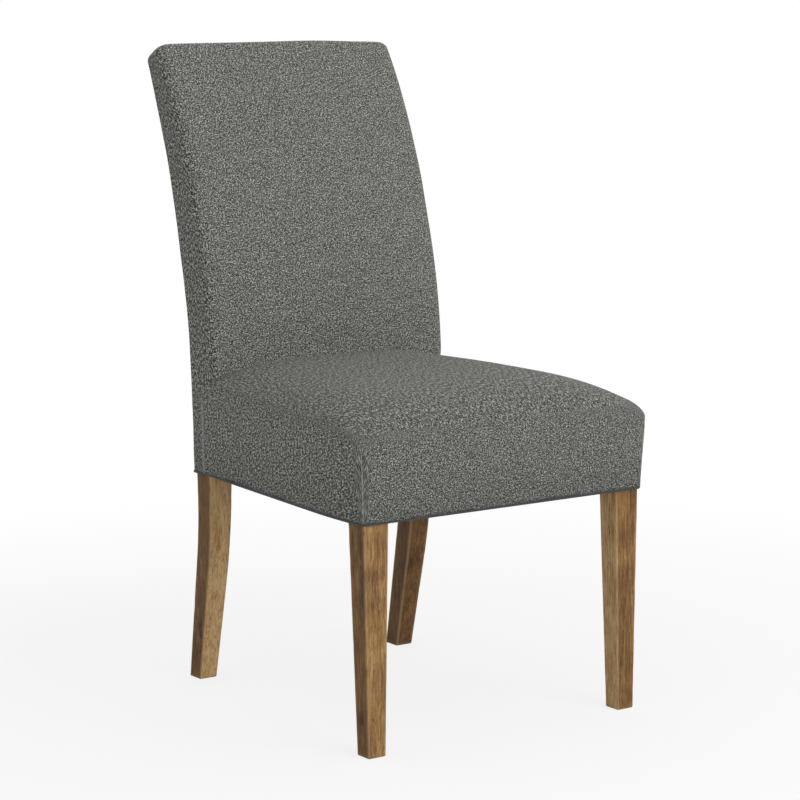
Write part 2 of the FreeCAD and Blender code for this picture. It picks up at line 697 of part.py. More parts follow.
def arc(a, b, c):
    return Part.Arc(a, b, c).toShape()


def line(a, b):
    return Part.LineSegment(a, b).toShape()


def mirrored(points):
    return [Vector(-p.x, p.y, p.z) for p in points]


def outline(nose, runs, fine):
    """Closed outline from its right half, led by the middle of the bowed front.

    A turn is an arc through its three points, or in a hidden layer straight from each to the next.
    """
    start = runs[0][1][0]
    edges = []

    def add(turned, points):
        if turned and fine:
            edges.append(arc(*points))
            return
        edges.extend(line(a, b) for a, b in zip(points, points[1:]))

    add(True, mirrored([start]) + [nose, start])
    for turned, points in runs:
        add(turned, points)
    edges.append(line(runs[-1][1][-1], mirrored(runs[-1][1])[-1]))
    for turned, points in reversed(runs):
        add(turned, mirrored(points)[::-1])
    return Part.Wire(edges)


TURN_STEPS = 2


def corner_points(x, y, radius, lean):
    """Points of a front corner, from the bowed front round to the side."""
    turn = math.pi / 2 - lean
    spots = []
    for k in range(TURN_STEPS, -1, -1):
        angle = turn * k / TURN_STEPS
        spots.append((x - radius + radius * math.cos(angle), y + radius - radius * math.sin(angle)))
    return spots


# Profile of the seat's edge from the hem to the crown: run in, share of the rise, corner radius.
def seat_stations():
    shoulder = size("shoulder_in")
    share = size("shoulder_share")
    side_corner = size("side_corner")
    stations = []
    last = math.radians(SHOULDER_TURNS[-1])
    for degrees in SHOULDER_TURNS:
        angle = math.radians(degrees)
        rise = share * math.sin(angle) / math.sin(last)
        grow = side_corner + (size("crown_corner") - side_corner) * degrees / CORNER_FULL_TURN
        stations.append((shoulder * (1 - math.cos(angle)), rise, grow))
    start = shoulder * (1 - math.cos(last))
    whole = size("leg_outer") + OUT - start
    for part in CROWN_SHARES:
        run_in = start + (size("crown_in") - start) * part
        rise = share + (1 - share) * (1 - (1 - (run_in - start) / whole) ** CROWN_STEEP)
        stations.append((run_in, rise, size("crown_corner")))
    top = stations[-1][1]
    return [(run_in, rise / top, corner) for run_in, rise, corner in stations]


def seat_wire(front_level, rear_level, lean, run_in, corner, bulge, fine):
    """One outline of the seat, tilted from its front level to its rear level."""
    front = HEM_FRONT - lean + run_in
    half = HEM_HALF + lean - run_in
    rear_half = BACK_HALF - run_in + (PAST - STRIP) * -value(SIDE_SLOPE)
    slope = (rear_level - front_level) / (STRIP - HEM_FRONT)

    def at(x, y):
        return Vector(x, y, front_level + slope * (y - HEM_FRONT))

    corner = min(corner, half - LEAST_FRONT)
    turn = math.atan(2 * bulge / (half - corner))
    round_corner = corner_points(half, front, corner, turn)
    bend = max(BEND, round_corner[-1][1] + SIDE_AHEAD)
    side = [round_corner[-1], (half, bend), (rear_half, PAST)]
    runs = [(True, [at(*p) for p in round_corner]), (False, [at(*p) for p in side])]
    return outline(at(0, front - bulge), runs, fine)


def seat_form(inset, low, fine=True):
    """The seat's outer form, moved in all round by an inset; fine has round turns."""
    side_front = size("seat_side_front")
    side_rear = size("seat_side_rear")
    lean = size("seat_lean")
    rows = [(low, low, 0.0, 0.0, size("hem_corner"), HEM_BOW)]
    for run_in, rise, corner in seat_stations():
        front = side_front + rise * (size("crown_front") - side_front)
        rear = side_rear + rise * (size("crown_rear") - side_rear)
        rows.append((front, rear, lean, run_in, corner, size("seat_bulge")))
    wires = []
    for k, (front, rear, out, run_in, corner, bulge) in enumerate(rows):
        before = rows[max(k - 1, 0)]
        after = rows[min(k + 1, len(rows) - 1)]
        rise = (after[0] + after[1] - before[0] - before[1]) / 2
        run = (after[3] - after[2]) - (before[3] - before[2])
        if k == len(rows) - 1:
            rise, run = 0.0, 1.0
        if k == 0:
            rise, run = 1.0, 0.0
        flat = rise / math.hypot(rise, run)
        up = run / math.hypot(rise, run)
        wires.append(seat_wire(front - inset * up, rear - inset * up, out, run_in + inset * flat,
                               max(corner - inset * flat, LEAST_TURN), bulge, fine))
    return closed_form(wires)


# The back: outlines across its thickness from the front face to the rear face.
def face_y(start, radius, level, from_level):
    rise = max(level - from_level, 0.0)
    return start + radius - math.sqrt(radius ** 2 - rise ** 2)


def back_wire(level, drop, front, inset, side_in, front_in, rear_in, edge, rear_edge, crown, fine):
    """One outline of the back: front side at a level, rear side lower by the drop."""
    rear_level = level - drop
    f = Vector(0, front, level)
    g = Vector(0, face_y(BACK_REAR, size("back_rear_radius"), rear_level, size("rake_rear_start")), rear_level)
    across = (g - f).normalize()
    thick = (g - f).Length
    half = BACK_HALF - inset - side_in
    edge = max(edge - inset, LEAST_TURN)
    rear_edge = max(rear_edge - inset, LEAST_REAR_TURN)
    room = thick - 2 * inset - rear_edge - LEAST_TURN - LEAST_FLAT
    rounding = min(1.0, room / max(front_in + rear_in, room))
    start = inset + front_in * rounding
    end = thick - inset - rear_in * rounding
    edge = min(edge, (end - start) - rear_edge - LEAST_FLAT)

    def at(x, v):
        return f + across * v + Vector(x, 0, 0)

    lean = math.atan(2 * crown / (half - edge))
    round_front = corner_points(half, start, edge, lean)
    round_rear = []
    for k in range(TURN_STEPS + 1):
        angle = math.pi / 2 * k / TURN_STEPS
        round_rear.append((half - rear_edge * (1 - math.cos(angle)), end - rear_edge * (1 - math.sin(angle))))
    runs = [
        (True, [at(*p) for p in round_front]),
        (False, [at(*round_front[-1]), at(*round_rear[0])]),
        (True, [at(*p) for p in round_rear]),
    ]
    return outline(at(0, start - crown), runs, fine)


def back_drop(level):
    share = (level - size("tuck_top")) / (size("back_top") - size("tuck_top"))
    return size("back_top_drop") * max(share, 0.0)


def back_form(inset, fine=True):
    """The back above the side strips, moved in all round by an inset."""
    strip_top = size("strip_top")
    tuck_top = size("tuck_top")
    top = size("back_top") - inset
    front = size("back_front")
    radius = size("back_front_radius")
    start = size("rake_front_start")
    edge = size("back_edge")
    crown = size("back_crown")
    ramp = []
    for share in TUCK_SHARES if fine else PLAIN_TUCK_SHARES:
        level = strip_top + (tuck_top - strip_top) * share
        ease = (1 - share) ** 2
        y = face_y(front, radius, level, start) * (1 - ease) + STRIP * ease
        ramp.append(back_wire(level, 0.0, y, inset, 0.0, 0.0, 0.0, edge * (1 - (1 - STRIP_EDGE) * ease),
                              size("back_rear_edge"), max(crown * (1 - ease), STRIP_BOW), fine))
    round_start = top - size("top_edge")
    sweep = [ramp[-1]]
    for k in range(1, SWEEP_COUNT + 1):
        level = tuck_top + (round_start - tuck_top) * k / SWEEP_COUNT
        sweep.append(back_wire(level, back_drop(level), face_y(front, radius, level, start), inset,
                               0.0, 0.0, 0.0, edge, size("back_rear_edge"), crown, fine))
    rounding = [sweep[-1]]
    for degrees in TOP_TURNS if fine else PLAIN_TOP_TURNS:
        angle = math.radians(degrees)
        level = round_start + size("top_edge") * math.sin(angle)
        away = 1 - math.cos(angle)
        rounding.append(back_wire(level, back_drop(level), face_y(front, radius, level, start), inset,
                                  max(size("top_corner") - inset, LEAST_TOP_TURN) * away,
                                  max(size("top_edge") - inset, LEAST_TOP_TURN) * away,
                                  max(size("top_rear_edge") - inset, LEAST_TURN) * away,
                                  edge, size("back_rear_edge"), crown * math.cos(angle) + STRIP_BOW, fine))
    return closed_form(ramp + sweep[1:] + rounding[1:])


def strip_form(inset, low, fine=True):
    """The part of the back's sides and rear below the seat's top, down to the hem."""
    high = size("strip_top")
    start = size("rake_rear_start")
    return closed_form([
        back_wire(level, 0.0, STRIP, inset, 0.0, 0.0, 0.0, size("back_edge") * STRIP_EDGE,
                  size("back_rear_edge"), STRIP_BOW, fine)
        for level in (low, start, (start + high) / 2, high)
    ])


def box(x0, x1, y0, y1, z0, z1):
    return Part.makeBox(x1 - x0, y1 - y0, z1 - z0, Vector(x0, y0, z0))


def side_profile(points):
    """Slab over a side view made of straight points and (middle, end) arcs."""
    edges = []
    here = Vector(0, *points[0])
    for spot in points[1:]:
        if len(spot) == 2:
            there = Vector(0, *spot)
            edges.append(line(here, there))
        else:
            there = Vector(0, spot[2], spot[3])
            edges.append(arc(here, Vector(0, spot[0], spot[1]), there))
        here = there
    face = Part.Face(Part.Wire(edges))
    slab = face.extrude(Vector(2 * FAR, 0, 0))
    slab.translate(Vector(-FAR, 0, 0))
    return slab


def raked_points(start_y, radius, from_level, top):
    """Arc of a raked edge as its middle and end."""
    middle = (from_level + top) / 2
    return (face_y(start_y, radius, middle, from_level), middle, face_y(start_y, radius, top, from_level), top)


# Reaches of the shapes that only cut, beyond the piece that they cut.
FAR = 700.0
HIGH = size("back_top") + 60.0
LOW = size("hem_low") - 30.0
ROOM_AHEAD = 40.0
SKIN_BELOW = 10.0
BACK_BELOW = 20.0
SEAM = size("seam_in")

# Everything behind the seam of the outside back.
rear_zone = side_profile([
    (BACK_REAR - SEAM, LOW),
    (BACK_REAR - SEAM, size("rake_rear_start")),
    raked_points(BACK_REAR - SEAM, size("back_rear_radius") + SEAM, size("rake_rear_start"), HIGH),
    (FAR, HIGH),
    (FAR, LOW),
    (BACK_REAR - SEAM, LOW),
])

# The frame's room inside the back's padding.
WEB_ROOM = WEB + 5 * GAP
post_top = size("post_top") + size("pad_gap")
post_rear_top = post_top - size("post_top_drop")
frame_zone = side_profile([
    (size("post_front") - WEB_ROOM, LOW),
    (size("post_front") - WEB_ROOM, size("rake_front_start")),
    raked_points(size("post_front") - WEB_ROOM, size("post_front_radius") + WEB_ROOM,
                 size("rake_front_start"), post_top),
    (value(post_front_at("post_top")), post_top),
    (value(post_rear_at("(post_top - post_top_drop)")), post_rear_top),
    (FAR, post_rear_top),
    (FAR, LOW),
    (size("post_front") - WEB_ROOM, LOW),
])


def strip_room(inset):
    """Room between the side strips, open to the seat."""
    half = BACK_HALF - inset
    return box(-half, half, STRIP - ROOM_AHEAD, BACK_REAR - inset - size("back_rear_edge"), LOW, size("strip_top"))


def back_shell(outer, inner, fine=True):
    """Skin of the back between two insets; below the seat it has only its sides and rear."""
    skin = back_form(outer, fine).fuse(strip_form(outer, size("hem_low"), fine))
    return skin.cut([back_form(inner, False), strip_form(inner, LOW, False), strip_room(inner)])


COVER = size("cover_thick")
PAD = size("pad_gap")
UNDER = COVER + PAD

back_skin = back_shell(0.0, COVER)
solid_part("inside_back_cover", back_skin.cut(rear_zone))
solid_part("outside_back_cover", back_skin.common(rear_zone))

back_skin_under = back_form(UNDER, False).fuse(strip_form(UNDER, size("rail_low"), False))
back_skin_under = back_skin_under.cut([strip_form(OUT, LOW, False), strip_room(OUT)])

# Foam with its bonded wadding: the foam fills the front and top, the wadding wraps the frame.
back_frame = back_form(OUT, False).common(frame_zone)
solid_part("back_padding", back_skin_under.cut(back_frame))

behind = back_form(-PAD).fuse(strip_form(-PAD, size("hem_low") - BACK_BELOW))
hem_low = size("hem_low")
foam_low = TOP + 2 * WEB + 3 * GAP + size("sheet_thick") + GAP
seat_skin = seat_form(0.0, hem_low).cut(seat_form(COVER, hem_low - SKIN_BELOW, False))
solid_part("seat_cover", seat_skin.cut(behind))
padding = seat_form(UNDER, size("rail_low"), False)
seat_frame = seat_form(OUT, hem_low - SKIN_BELOW, False).common(box(-FAR, FAR, -FAR, FAR, 0.0, foam_low))
solid_part("seat_padding", padding.cut([seat_frame, behind]))


# Welt.

WELT_BEND = 60.0
WELT_SIDES = 8


def welt():
    """Round cord along the hem's outline: straight runs and tangent turns."""
    radius = size("welt_radius")
    inset = radius - size("welt_proud")
    level = hem_low - radius
    half = HEM_HALF - inset
    rear_half = BACK_HALF - inset
    right = [
        (half, HEM_FRONT + inset, max(size("hem_corner") - inset, 2 * radius)),
        (half, BEND, WELT_BEND),
        (rear_half, STRIP, WELT_BEND),
        (rear_half, BACK_REAR - inset, max(size("back_rear_edge") - inset, 2 * radius)),
    ]
    corners = right + [(-x, y, r) for x, y, r in reversed(right)]
    count = len(corners)
    turns = []
    for i, (x, y, r) in enumerate(corners):
        here = Vector(x, y, level)
        before = (here - Vector(*corners[i - 1][:2], level)).normalize()
        after = (Vector(*corners[(i + 1) % count][:2], level) - here).normalize()
        angle = before.getAngle(after)
        reach = r * math.tan(angle / 2)
        start = here - before * reach
        side = Vector(0, 0, 1).cross(before)
        turn = 1 if side.dot(after) > 0 else -1
        turns.append((start, here + after * reach, before, after, start + side * (turn * r), turn, angle))
    cord = []

    def section(centre, along):
        """Many-sided section, flat below."""
        side = Vector(0, 0, 1).cross(along)
        rim = []
        for k in range(WELT_SIDES + 1):
            angle = math.tau * (k + 0.5) / WELT_SIDES
            rim.append(centre + (side * math.cos(angle) + Vector(0, 0, 1) * math.sin(angle)) * radius)
        return Part.Face(Part.makePolygon(rim))

    for i, (start, end, before, after, centre, turn, angle) in enumerate(turns):
        cord.append(section(start, before).revolve(centre, Vector(0, 0, turn), math.degrees(angle)))
        cord.append(section(end, after).extrude(turns[(i + 1) % count][0] - end))
    return cord[0].fuse(cord[1:]).removeSplitter()


solid_part("bottom_welt", welt())


# Check and write.

doc.recompute()
for thing in doc.Objects:
    if "Invalid" in thing.State or "Error" in thing.State:
        raise RuntimeError(f"{thing.Label} failed: {thing.State}")
for part in PARTS:
    if part.Shape.isNull() or not part.Shape.isValid():
        raise RuntimeError(f"{part.Label} has no valid shape")

os.makedirs("parts", exist_ok=True)
for part in PARTS:
    part.Shape.exportStep(f"parts/{part.Label}.step")
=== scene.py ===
import math

import bpy
import numpy as np
from mathutils import Matrix, Vector, noise


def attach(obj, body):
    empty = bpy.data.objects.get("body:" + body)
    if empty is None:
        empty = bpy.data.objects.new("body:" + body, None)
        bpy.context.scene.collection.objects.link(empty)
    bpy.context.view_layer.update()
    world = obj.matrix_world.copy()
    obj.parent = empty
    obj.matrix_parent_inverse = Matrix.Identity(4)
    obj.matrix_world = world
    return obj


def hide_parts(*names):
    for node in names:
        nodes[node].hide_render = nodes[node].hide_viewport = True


# Upholstered dining chair: metres, +Z up, floor at Z = 0, the chair faces -Y, X = 0 is the middle plane.

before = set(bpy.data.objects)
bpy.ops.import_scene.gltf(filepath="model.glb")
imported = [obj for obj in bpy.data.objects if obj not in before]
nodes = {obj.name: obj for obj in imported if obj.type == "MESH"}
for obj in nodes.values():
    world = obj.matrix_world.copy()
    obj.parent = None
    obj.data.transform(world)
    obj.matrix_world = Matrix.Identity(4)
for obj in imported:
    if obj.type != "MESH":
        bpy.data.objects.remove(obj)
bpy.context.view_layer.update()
MM = 0.001

# Camera that took the photograph: turn, height and roll in degrees, distance and aim in metres.
CAMERA_TURN = -34.518
CAMERA_RISE = 8.3728
CAMERA_ROLL = -0.4032
CAMERA_DISTANCE = 3.93305
CAMERA_AIM_RIGHT = 0.0036
CAMERA_AIM_UP = 0.45093
CAMERA_BACKSET = -0.044
CAMERA_LENS = 118.61
SENSOR = 36.0

# Legs and posts, as in the construction.
HEM = 0.3334
LEG_OUTER = 0.2419
LEG_WIDE = 0.0412
LEG_FRONT = 0.3125
LEG_DEEP = 0.0390
FOOT = 0.0288
FOOT_OUTER_IN = 0.0057
FOOT_FRONT_IN = 0.0010
RAIL_TOP = 0.412
POST_OUTER = 0.2080
POST_WIDE = 0.0400
POST_FRONT = 0.1593
POST_DEEP = 0.0377
POST_FOOT_WIDE = 0.0300
POST_FOOT_IN = 0.0078
POST_FRONT_RADIUS = 1.180
POST_TOP = 0.9500
SWEEP_FRONT = (0.22, 0.150, 0.330)
SWEEP_REAR = (0.182, 0.195, 0.310)

# Seat outline. Its shoulder and crown lie a little lower at the front corners than the solid's.
COVER_OUT = 4.5 * MM
HEM_FRONT = -LEG_FRONT - COVER_OUT
HEM_HALF = LEG_OUTER + COVER_OUT
STRIP_AHEAD = 0.3 * MM
STRIP = POST_FRONT - STRIP_AHEAD
SIDE_BEND = -0.2735
BEND_SOFT = 45.0 * MM
SEAT_PAST = 12.0 * MM
SEAT_LEAN = 8.0 * MM
LEAN_EASE = 1.25
SEAT_SIDE_FRONT = 0.437
SEAT_SIDE_REAR = 0.462
CROWN_FRONT = 0.4998
CROWN_REAR = 0.5038
CROWN_DOME = 0.8 * MM
SHOULDER_IN = 15.3 * MM
SHOULDER_SHARE = 0.345
SHOULDER_FROM = -6.0
SHOULDER_TURN = 60.4
SHOULDER_GROW = 1.5
CROWN_IN = 165.0 * MM
CROWN_STEEP = 4.36
SEAT_BULGE = 3.0 * MM
HEM_BOW = 0.6 * MM
HEM_CORNER = 8.0 * MM
SIDE_CORNER = 18.9 * MM
CROWN_CORNER = 89.5 * MM
SHOULDER_CORNER = 62.4 * MM
CROWN_GROWN_AT = 0.25
CROWN_LEAST_FRONT = 20.0 * MM
LEAST_CORNER = 2.0 * MM
LEAST_STRAIGHT = 2.0 * MM

# Back outline, as in the construction.
BACK_HALF = POST_OUTER + COVER_OUT
BACK_REAR = POST_FRONT + POST_DEEP + COVER_OUT
BACK_FRONT = 0.1275
BACK_FRONT_RADIUS = 1.060
BACK_REAR_RADIUS = 1.430
POST_REAR_RADIUS = BACK_REAR_RADIUS + COVER_OUT
RAKE_FRONT_START = 0.430
RAKE_REAR_START = 0.380
STRIP_TOP = 0.446
STRIP_EDGE_SHARE = 0.3
TUCK_TOP = 0.500
BACK_TOP = 0.983
BACK_TOP_DROP = 22.0 * MM
BACK_CROWN = 8.0 * MM
BACK_LEAST_CROWN = 0.4 * MM
BACK_EDGE = 18.0 * MM
BACK_REAR_EDGE = 6.0 * MM
BORDER_LEAST = 1.0 * MM
TOP_CORNER = 18.0 * MM
TOP_CORNER_POWER = 1.25
TOP_EDGE = 15.0 * MM
TOP_EDGE_LESS = 0.35
TOP_REAR_EDGE = 7.0 * MM
TOP_SHARES = (0.25, 0.5, 0.72, 0.88)
TOP_NARROW = 0.04
TOP_RISE = 1.6 * MM
REAR_SEAM_IN = 3.0 * MM

# Cloth details. Soft rises are given as scale, depth and seed.
COVER_THICK = 1.2 * MM
TURN_UNDER = 12.0 * MM
UNDER_RUNS = (TURN_UNDER, 7.2 * MM, 3.0 * MM, 2.0 * MM)
HEM_ROUND_UP = 0.4 * MM
HEM_ROUND_IN = 0.6 * MM
SEAT_SOFT = ((9.0, 1.1 * MM, 0.0), (24.0, 0.35 * MM, 5.0))
BACK_SOFT = ((8.0, 1.2 * MM, 3.0), (22.0, 0.35 * MM, 9.0))
SEAM_HALF = 0.9 * MM
MITRE_DEEP = 0.3 * MM
MITRE_LIP = 0.5 * MM
MITRE_TOP = 0.436
MITRE_FADE = 20.0 * MM
PUCKER = 0.07 * MM
PUCKER_PITCH = 9.0 * MM
PUCKER_SHIFT = 0.3
PUCKER_COLUMNS = 6
BACK_SEAM_DEEP = 1.35 * MM
RIDGE = 1.1 * MM
RIDGE_PAST = 6.0 * MM
RIDGE_FADE = 20.0 * MM
WELT_RADIUS = 1.8 * MM
WELT_PROUD = 0.9 * MM
WELT_SIDES = 10
WELT_TURNS = 7
WELT_AHEAD = 4.0 * MM
WELT_REAR_SHARES = (0.8, 0.6, 0.4, 0.2, 0.0)
THREAD = 1.1 * MM
DECKING_PITCH = 1.5 * MM
CAMBRIC_PITCH = 1.8 * MM
STRAP_RIB = 1.6 * MM
STRAP_LINE = 2.4 * MM
WELT_TWIST = 2.2 * MM
WELT_PLIES = 2.0
BACK_LIFT = 0.97
# Painted shade: the seat's copy of the tweed is darker than the back's.
SEAT_PAINTED_SHADE = 0.81
# Painted shade on the back's faces that look sideways.
BACK_SIDE_PAINTED_SHADE = 0.8
# Painted shade, darker towards the hem.
HEM_SHADE = 0.2
HEM_SHADE_BELOW = 10.0 * MM
HEM_SHADE_ABOVE = 80.0 * MM
# Painted highlights on the mitre seams and on the ridge of the back's side strips.
SEAM_PAINTED_HIGHLIGHT = 0.85
RIDGE_PAINTED_HIGHLIGHT = 0.5

# Light. Each lamp has a place, a size and a power.
WHITE = (1.0, 1.0, 1.0, 1.0)
SOFT_LIGHT = 0.58
LAMP_AIM = (0.0, 0.0, 0.5)
LAMPS = {
    "key_light": ((0.7, -3.4, 1.6), 2.2, 55.0),
    "fill_light": ((-3.2, -1.6, 0.7), 1.8, 4.0),
    "top_light": ((0.4, -0.6, 3.4), 2.4, 7.0),
}
FLOOR_REACH = 30.0
FLOOR_TONE = (0.9, 0.9, 0.9, 1.0)
FLOOR_GLOW_NEAR = 0.8
FLOOR_GLOW_START = 0.5
FLOOR_GLOW_FULL = 1.8


# Shader maths.

def shade(*color):
    """Linear colour, with its alpha, of an sRGB one given from 0 to 255."""
    def linear(part):
        return part / 12.92 if part <= 0.04045 else ((part + 0.055) / 1.055) ** 2.4
    return (*(linear(value / 255.0) for value in color), 1.0)


def by_node(operation):
    """Operator that adds a Math node."""
    return lambda signal, *others: signal.math(operation, *others)


class Signal:
    """Shader socket that takes part in arithmetic."""

    def __init__(self, owner, socket):
        self.owner = owner
        self.socket = socket

    def math(self, operation, *others):
        values = {i: v for i, v in enumerate((self, *others))}
        return self.owner.node("ShaderNodeMath", {"operation": operation}, values)

    __add__ = __radd__ = by_node("ADD")
    __sub__ = by_node("SUBTRACT")
    __mul__ = __rmul__ = by_node("MULTIPLY")
    __truediv__ = by_node("DIVIDE")
    __pow__ = by_node("POWER")
    floor = by_node("FLOOR")
    cosine = by_node("COSINE")

    def __rsub__(self, other):
        return (self * -1.0) + other

    def clamp(self):
        return self.math("MAXIMUM", 0.0).math("MINIMUM", 1.0)

    def above(self, low, high):
        """0 below the low value, 1 above the high one, smooth between."""
        settings = {"interpolation_type": "SMOOTHSTEP"}
        inputs = {0: self, 1: low, 2: high, 3: 0.0, 4: 1.0}
        return self.owner.node("ShaderNodeMapRange", settings, inputs)


class Tree:
    """Node tree written as expressions."""

    def __init__(self, tree):
        self.tree = tree
        self.tree.nodes.clear()

    def node(self, kind, settings=None, inputs=None, output=0):
        """Any node: its settings first, then the values or links of its sockets."""
        made = self.tree.nodes.new(kind)
        for key, value in (settings or {}).items():
            setattr(made, key, value)
        for key, value in (inputs or {}).items():
            if isinstance(value, Signal):
                self.tree.links.new(value.socket, made.inputs[key])
            else:
                made.inputs[key].default_value = value
        return Signal(self, made.outputs[output])

    def blend(self, share, first, second):
        return self.node("ShaderNodeMixShader", None, {0: share, 1: first, 2: second})

    def end(self, kind, result, socket="Surface"):
        out = self.tree.nodes.new(kind)
        self.tree.links.new(result.socket, out.inputs[socket])


class Finish(Tree):
    """Material made of expressions."""

    def __init__(self, name):
        self.material = bpy.data.materials.new(name)
        self.material.use_nodes = True
        super().__init__(self.material.node_tree)

    def places(self):
        return self.node("ShaderNodeTexCoord", output="Object")

    def cloth(self):
        return self.node("ShaderNodeUVMap", {"uv_map": "cloth"})

    def attribute(self, name):
        return self.node("ShaderNodeAttribute", {"attribute_name": name}, output=2)

    def axes(self, vector):
        """The three numbers of a vector."""
        return tuple(self.node("ShaderNodeSeparateXYZ", None, {0: vector}, i) for i in range(3))

    def vector(self, x, y, z=0.0):
        return self.node("ShaderNodeCombineXYZ", None, {0: x, 1: y, 2: z})

    def scaled(self, vector, scale):
        return self.node("ShaderNodeVectorMath", {"operation": "MULTIPLY"}, {0: vector, 1: scale})

    def noise(self, vector, scale, detail=2.0, roughness=0.5, output=0):
        inputs = {"Vector": vector, "Scale": scale, "Detail": detail, "Roughness": roughness}
        return self.node("ShaderNodeTexNoise", None, inputs, output)

    def cells(self, vector, scale):
        return self.node("ShaderNodeTexVoronoi", None, {"Vector": vector, "Scale": scale})

    def ramp(self, value, stops):
        """Colour ramp; a stop has a place and an sRGB colour from 0 to 255."""
        made = self.node("ShaderNodeValToRGB", None, {0: value})
        elements = made.socket.node.color_ramp.elements
        while len(elements) < len(stops):
            elements.new(0.5)
        for element, (place, color) in zip(elements, stops):
            element.position = place
            element.color = shade(*color)
        return made

    def mix(self, share, first, second, blend="MIX"):
        settings = {"data_type": "RGBA", "blend_type": blend}
        inputs = {0: share}
        for key, color in ((6, first), (7, second)):
            inputs[key] = color if isinstance(color, Signal) else shade(*color)
        return self.node("ShaderNodeMix", settings, inputs, 2)

    def bump(self, height, distance, strength):
        inputs = {"Strength": strength, "Distance": distance, "Height": height}
        return self.node("ShaderNodeBump", None, inputs)

    def simple(self, tone, stops, relief, depth, strength, **sockets):
        """Surface whose tone picks the colour and whose relief makes the bumps."""
        color = self.ramp(tone, stops)
        return self.surface(Base_Color=color, Normal=self.bump(relief, depth, strength), **sockets)

    def surface(self, **sockets):
        """Principled surface; a name's underscores stand for spaces."""
        inputs = {key.replace("_", " "): value for key, value in sockets.items()}
        self.end("ShaderNodeOutputMaterial", self.node("ShaderNodeBsdfPrincipled", None, inputs))
        return self.material


# Materials.

def tweed_finish(name, tone_and_painted_shade, side_painted_shade):
    """Heather grey tweed: a plain weave whose yarns change tone as they run.

    tone_and_painted_shade makes the whole cloth lighter or darker; for the seat's copy it is painted
    shade.
    side_painted_shade paints shade on the faces that look sideways. The cloth has painted shade towards
    the hem and between the thread crossings, and painted highlights on its seams and ridges.
    """
    finish = Finish(name)
    level = finish.axes(finish.places())[2]
    cloth = finish.cloth()
    wander_x, wander_y, _ = finish.axes(finish.noise(cloth, 260.0, output=1))
    along, up, _ = finish.axes(cloth)
    wander_threads = 0.9
    across = along / THREAD + (wander_x - 0.5) * wander_threads
    rise = up / THREAD + (wander_y - 0.5) * wander_threads
    # Every thread crossing is a cell of a column and a row; warp and weft lie over by turns.
    column = across.floor()
    row = rise.floor()
    in_column = across - column - 0.5
    in_row = rise - row - 0.5
    over = (column + row).math("FLOORED_MODULO", 2.0)
    pillow = ((in_column * math.pi).cosine() * (in_row * math.pi).cosine()).math("MAXIMUM", 0.0) ** 0.5

    def drawn(x, y, layer=0.0):
        """Noise whose spots are drawn out where x or y grows slowly."""
        return finish.noise(finish.vector(x, y, layer), 1.0, 1.0)

    upright = drawn(across * 3.0, rise * 0.6)
    lying = drawn(across * 0.6, rise * 3.0, 7.0)
    fibre = upright * over + lying * (1.0 - over)
    speck = finish.node("ShaderNodeTexWhiteNoise", {"noise_dimensions": "3D"},
                        {"Vector": finish.vector(column, row, over)})
    warp_tone = drawn(column * 1.7, rise * 0.28)
    weft_tone = drawn(across * 0.28, row * 1.7, 3.0)
    yarn = warp_tone * over + weft_tone * (1.0 - over)
    cluster = finish.noise(cloth, 520.0, 1.0, 0.6)
    side_slub = drawn(along * 330.0, up * 210.0, 11.0)
    top_slub = drawn(along * 360.0, up * 150.0, 17.0)
    sideways = finish.attribute("sideways") ** 2.0
    upward = finish.attribute("upward") ** 3.0
    slub = (side_slub - 0.5) * sideways * 2.6 + (top_slub - 0.5) * upward * 2.4
    # Weights of what makes a spot light or dark; the last number sets the mean.
    tone = speck * 0.42 + (yarn - 0.5) * 1.35 + (cluster - 0.5) * 2.3 + slub + 0.28
    color = finish.ramp(tone.clamp(), [
        (0.0, (26, 28, 25)),
        (0.3, (72, 74, 70)),
        (0.55, (114, 116, 110)),
        (0.8, (170, 172, 165)),
        (1.0, (222, 223, 215)),
    ])
    # Painted shade, darker towards the hem.
    hem = 1.0 - level.above(HEM - HEM_SHADE_BELOW, HEM + HEM_SHADE_ABOVE)
    # Painted shade on the faces that look sideways.
    side_shade = 1.0 - sideways * sideways * (1.0 - side_painted_shade)
    # Painted shade between the thread crossings, times the painted shade above.
    depth = (0.62 + pillow * 0.38) * tone_and_painted_shade * (1.0 - hem * HEM_SHADE) * side_shade
    color = finish.mix(1.0, color, finish.vector(depth, depth, depth), "MULTIPLY")
    # Painted highlight on the seams and the back's ridge.
    seam = finish.attribute("seam") * SEAM_PAINTED_HIGHLIGHT
    color = finish.mix(seam, color, (168, 170, 162))
    relief = pillow * 0.7 + fibre * 0.3 + speck * 0.15
    normal = finish.bump(relief, 0.35 * MM, 0.8)
    return finish.surface(Base_Color=color, Roughness=0.92, Normal=normal, Specular_IOR_Level=0.25,
                          Sheen_Weight=0.22, Sheen_Roughness=0.55, Sheen_Tint=shade(190, 192, 185))


